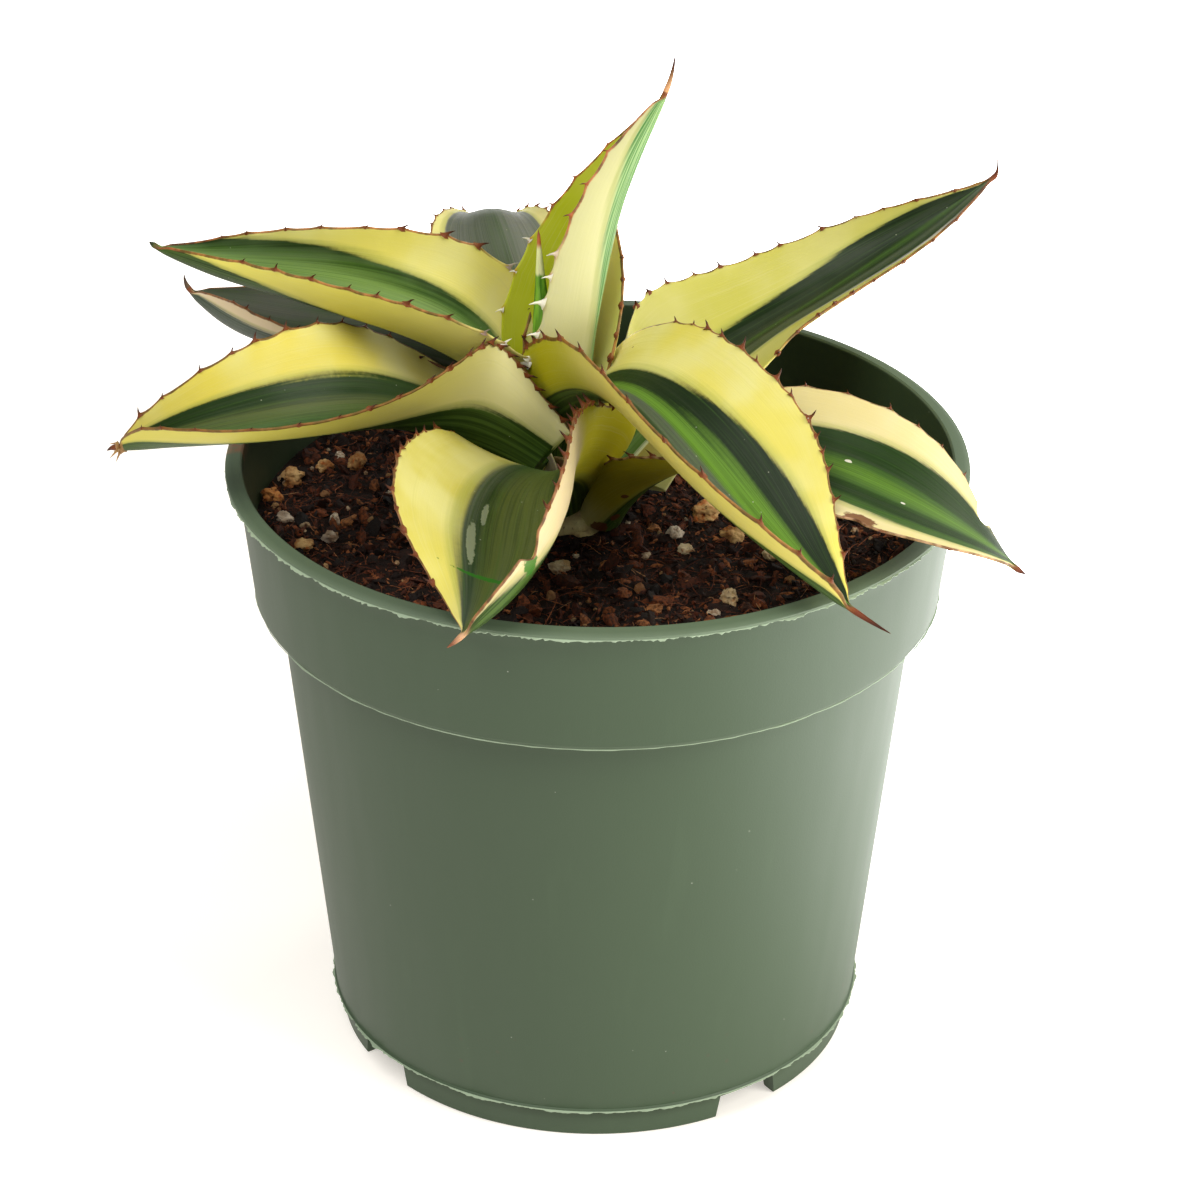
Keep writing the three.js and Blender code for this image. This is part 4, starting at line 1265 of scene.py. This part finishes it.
def leafFinish(name, leaf, seed):
    look = {**plain, **special.get(name, {})}
    shader = Shader(name + "Skin")
    place = shader.place()
    step = shader.step
    s, q, under, edge, horn = (shader.paint(key) for key in ("along", "across", "under", "edge", "horn"))
    veins, fineVeins, broadVeins = (
        shader.noise(shader.vector(q * across, s * lengthwise, seed + more), 1, detail, rough)
        for across, lengthwise, more, detail, rough in veinKinds)
    cloud = shader.noise(place, 70, 2)
    fine = shader.noise(place, 1100, 3)
    outer = step(under, 0.4, 0.6)
    inner = 1 - outer

    # the yellow bands
    yellow = shader.mix(step(cloud, 0.3, 0.7), look["yellow"], look["paleYellow"])
    yellow = shader.mix(step(s, look["creamTo"], 0.02) * 0.6, yellow, look["cream"])
    # for some leaves these outer tones are painted shade, set in special
    outerCream = step(s + (cloud - 0.5) * 0.08, *look["outerFrom"])
    outerYellow = shader.mix(outerCream, look["outerYellow"], look["outerCream"])
    band = shader.over(shader.mix(outer, yellow, outerYellow),
                       (step(fineVeins, 0.5, 0.8) * 0.14, (236, 231, 186)),
                       (step(veins, 0.55, 0.8) * 0.1, (176, 182, 84)))

    # the green stripe, its ragged edge and its zones
    speckle = (fine - 0.5) * 0.02
    drift = (broadVeins - 0.5) * 0.12 + (veins - 0.5) * 0.07 + (fineVeins - 0.5) * 0.03 + speckle
    share = shareOf(leaf["stripe"], s) * inner + shareOf(leaf["under"], s) * outer
    fromMiddle = q - (leaf["shift"] * inner + leaf["underShift"] * outer)
    outside = abs(fromMiddle) + drift - share
    soft = look["soft"]
    stripe = step(outside, soft, -soft)
    fringe = step(outside, soft + 0.09, soft - 0.02) * (1 - stripe)
    zone = fromMiddle + (broadVeins - 0.5) * 0.2 + (veins - 0.5) * 0.1 + speckle
    zone = zone / shader.math("MAXIMUM", share, 0.05) * 0.5 + 0.5
    bloom = step(broadVeins + (cloud - 0.5) * 0.7, 0.3, 0.7) * look["bloom"]
    upperGreen = shader.over(
        shader.ramp(zone, [(at, tones[key]) for at, key in leaf["zones"]]),
        (step(veins, 0.5, 0.72) * 0.4, tones["mid"]),
        (step(veins, 0.48, 0.32) * 0.14, tones["grey"]),
        (step(fineVeins, 0.45, 0.65) * 0.36, tones["deep"]),
        (step(s, 0.42, 0.1) * look["young"], (96, 146, 34)),
        (bloom, look["bloomTone"]),
    )
    outerGreen = shader.mix(step(veins, 0.42, 0.6), look["underDark"], look["underMid"])
    green = shader.mix(outer, upperGreen, outerGreen)
    colour = shader.mix(stripe, shader.mix(fringe * 0.5, band, (150, 160, 76)), green)

    for at, span, across, width, key, face in leaf.get("marks", ()):
        lengthwise = abs(s - at + (fine - 0.5) * span * 0.8) * (1 / span)
        aside = abs(q - across + (veins - 0.5) * width * 0.8) * (1 / width)
        ragged = (shader.noise(place, 900, 3) - 0.5) * 1.1
        spot = step(lengthwise * lengthwise + aside * aside + ragged, 1, 0.6)
        colour = shader.mix(spot * (outer if face else inner) * 0.9, colour, tones[key])

    # brown margins, teeth and spine, then specks on the bands and dust on the stripe
    chew = shader.noise(place, 380, 3)
    isLeft = step(q, -0.5, 0.5)
    width = leaf["right"][5] * (1 - isLeft) + leaf["left"][5] * isLeft
    grown = step(s, look["lineFrom"], look["lineFrom"] + 0.12)
    line = step(edge - width + (chew - 0.5) * 0.5, 0.42, 0.22) * grown
    halo = shader.paint("halo") * step(edge, 1.1, 0.2)
    tip = step(s + (cloud - 0.5) * 0.03, 0.975, 1)
    hornTone = shader.mix(step(horn, 0.35, 0.9), look["horn"], look["hornTip"])
    if "paleTeeth" in leaf:
        hornTone = shader.mix(step(s, *leaf["paleTeeth"]), hornTone, (240, 236, 214))
    colour = shader.over(
        colour,
        (line * 0.9, shader.mix(step(chew, 0.35, 0.65), look["marginDark"], look["margin"])),
        (halo * 0.8, look["horn"]),
        (tip * step(edge, 2, 0.5), look["tip"]),
        (step(s, 0.995, 1.06), shader.mix(step(s, 1, 1.8), look["spineBase"], look["spineTip"])),
        (step(horn, 0.1, 0.3), hornTone),
        (shader.spots(place, 230, 0.08, 0.04) * (1 - stripe) * 0.8, (120, 78, 40)),
        (shader.spots(place, 620, 0.12, 0.08) * stripe * 0.55, (180, 186, 160)),
    )
    # every leaf's colour is scaled by its shade share; leaf_rear_right's full share is painted light
    colour = shader.mix(1, colour, (look["shade"],) * 3 + (1,), "MULTIPLY")
    lines = shader.bump(fineVeins + veins, 0.12, 0.0004)
    relief = shader.bump(fine, 0.08, 0.0003, lines)
    return shader.finish(Base_Color=colour, Roughness=0.38 + 0.12 * fine + 0.2 * bloom, Normal=relief,
                         Specular_IOR_Level=0.15, Subsurface_Weight=0.2, Subsurface_Radius=(1, 0.9, 0.2),
                         Subsurface_Scale=0.0015)


def makeLeaves():
    for i, (name, leaf) in enumerate(leaves.items()):
        dice = np.random.default_rng(100 + i)
        teeth = {margin: toothPlaces(leaf, margin, dice) for margin in (-1, 1)}
        body = leafPiece(name + "Blade", leaf, teeth)
        horns = makeTeeth(name, leaf, teeth, dice)
        whole = joinAll([body, horns], name + "Whole")
        finishPiece(whole, "agave_leaf", [name], leafFinish(name, leaf, 3 + 1.7 * i), 50)


makeLeaves()
print("leaves made")


stem = {
    "rings": 46, "sides": 64, "scars": 9, "scarDepth": 0.55,
    "radius": 9.6, "narrowing": 5.2,
}
spear = {
    "x": -10.8, "y": 1.5, "bottom": 141, "top": 189.5, "radius": 2.55, "lean": -2,
    "rings": 70, "sides": 40, "step": 0.13,
}


def tubeGrid(piece):
    # shares of the length as a column, and angles round it as a row
    angles = np.linspace(0, 2 * math.pi, piece["sides"], endpoint=False)
    return np.linspace(0, 1, piece["rings"])[:, None], angles


def makeStem():
    low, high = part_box("stem")
    bottom, top = low.z / mm, high.z / mm
    t, a = tubeGrid(stem)
    scar = (t * stem["scars"] + a / (2 * math.pi)) % 1
    radius = stem["radius"] - stem["narrowing"] * smooth(t, 0.35, 1)
    radius = radius - stem["scarDepth"] * np.exp(-(np.minimum(scar, 1 - scar) / 0.07) ** 2)
    radius = radius + 0.25 * wobble(np.cos(a) * 3 + 0 * t, np.sin(a) * 3 + t * 9, 4.4)
    radius = radius * (1 - 0.75 * smooth(t, 0.985, 1))
    x, y = around(radius, a)
    rows = np.stack([stemPlace[0] + x, stemPlace[1] + y, bottom + (top - bottom) * t + 0 * a], 2)
    piece = tubeOf("stemWithScars", rows, {})
    shader = Shader("stemSkin")
    place = shader.place()
    cloud = shader.noise(place, 240, 4)
    fine = shader.noise(place, 1300, 3)
    colour = shader.ramp(cloud, [(0.3, (120, 84, 52)), (0.5, (186, 170, 116)), (0.75, (214, 206, 150))])
    colour = shader.mix(shader.step(fine, 0.6, 0.8), colour, (96, 60, 38))
    bump = shader.bump(fine + cloud, 0.5, 0.0006)
    material = shader.finish(Base_Color=colour, Roughness=0.65 + 0.2 * fine, Normal=bump)
    finishPiece(piece, "agave_stem", ["stem"], material, 60)


def makeSpear():
    t, a = tubeGrid(spear)
    swell = 0.72 + 0.28 * smooth(t, 0, 0.22)
    taper = 1 - smooth(t, 0.25, 1.15) * 0.98
    # the rolled leaf's free edge winds up the spear as a low step
    turn = (a / (2 * math.pi) + 0.35 * t) % 1
    radius = spear["radius"] * swell * np.clip(taper, 0.03, 1) * (1 + spear["step"] * turn)
    radius = radius * (1 - 0.97 * smooth(t, 0.97, 1))
    x, y = around(radius, a)
    height = spear["bottom"] + (spear["top"] - spear["bottom"]) * t + 0 * a
    rows = np.stack([spear["x"] + spear["lean"] * t + x, spear["y"] + y, height], 2)
    piece = tubeOf("rolledSpear", rows, {"along": t + 0 * a})
    shader = Shader("spearSkin")
    s = shader.paint("along")
    veins = shader.strands(shader.place(), 0.06, 1500, 2)
    colour = shader.over(
        shader.mix(shader.step(veins, 0.35, 0.65), (74, 128, 26), (122, 176, 52)),
        (shader.step(s + (veins - 0.5) * 0.03, 0.78, 0.8), (226, 230, 170)),
        (shader.step(s, 0.9, 0.94), (176, 92, 48)),
        (shader.step(s, 0.95, 1), (104, 50, 34)),
    )
    bump = shader.bump(veins, 0.25, 0.0004)
    material = shader.finish(Base_Color=colour, Roughness=0.38 + 0.12 * veins, Normal=bump,
                             Subsurface_Weight=0.15, Subsurface_Radius=(0.6, 1, 0.3), Subsurface_Scale=0.001)
    finishPiece(piece, "agave_spear", ["central_spear"], material, 50)


makeStem()
makeSpear()
print("stem and spear made")
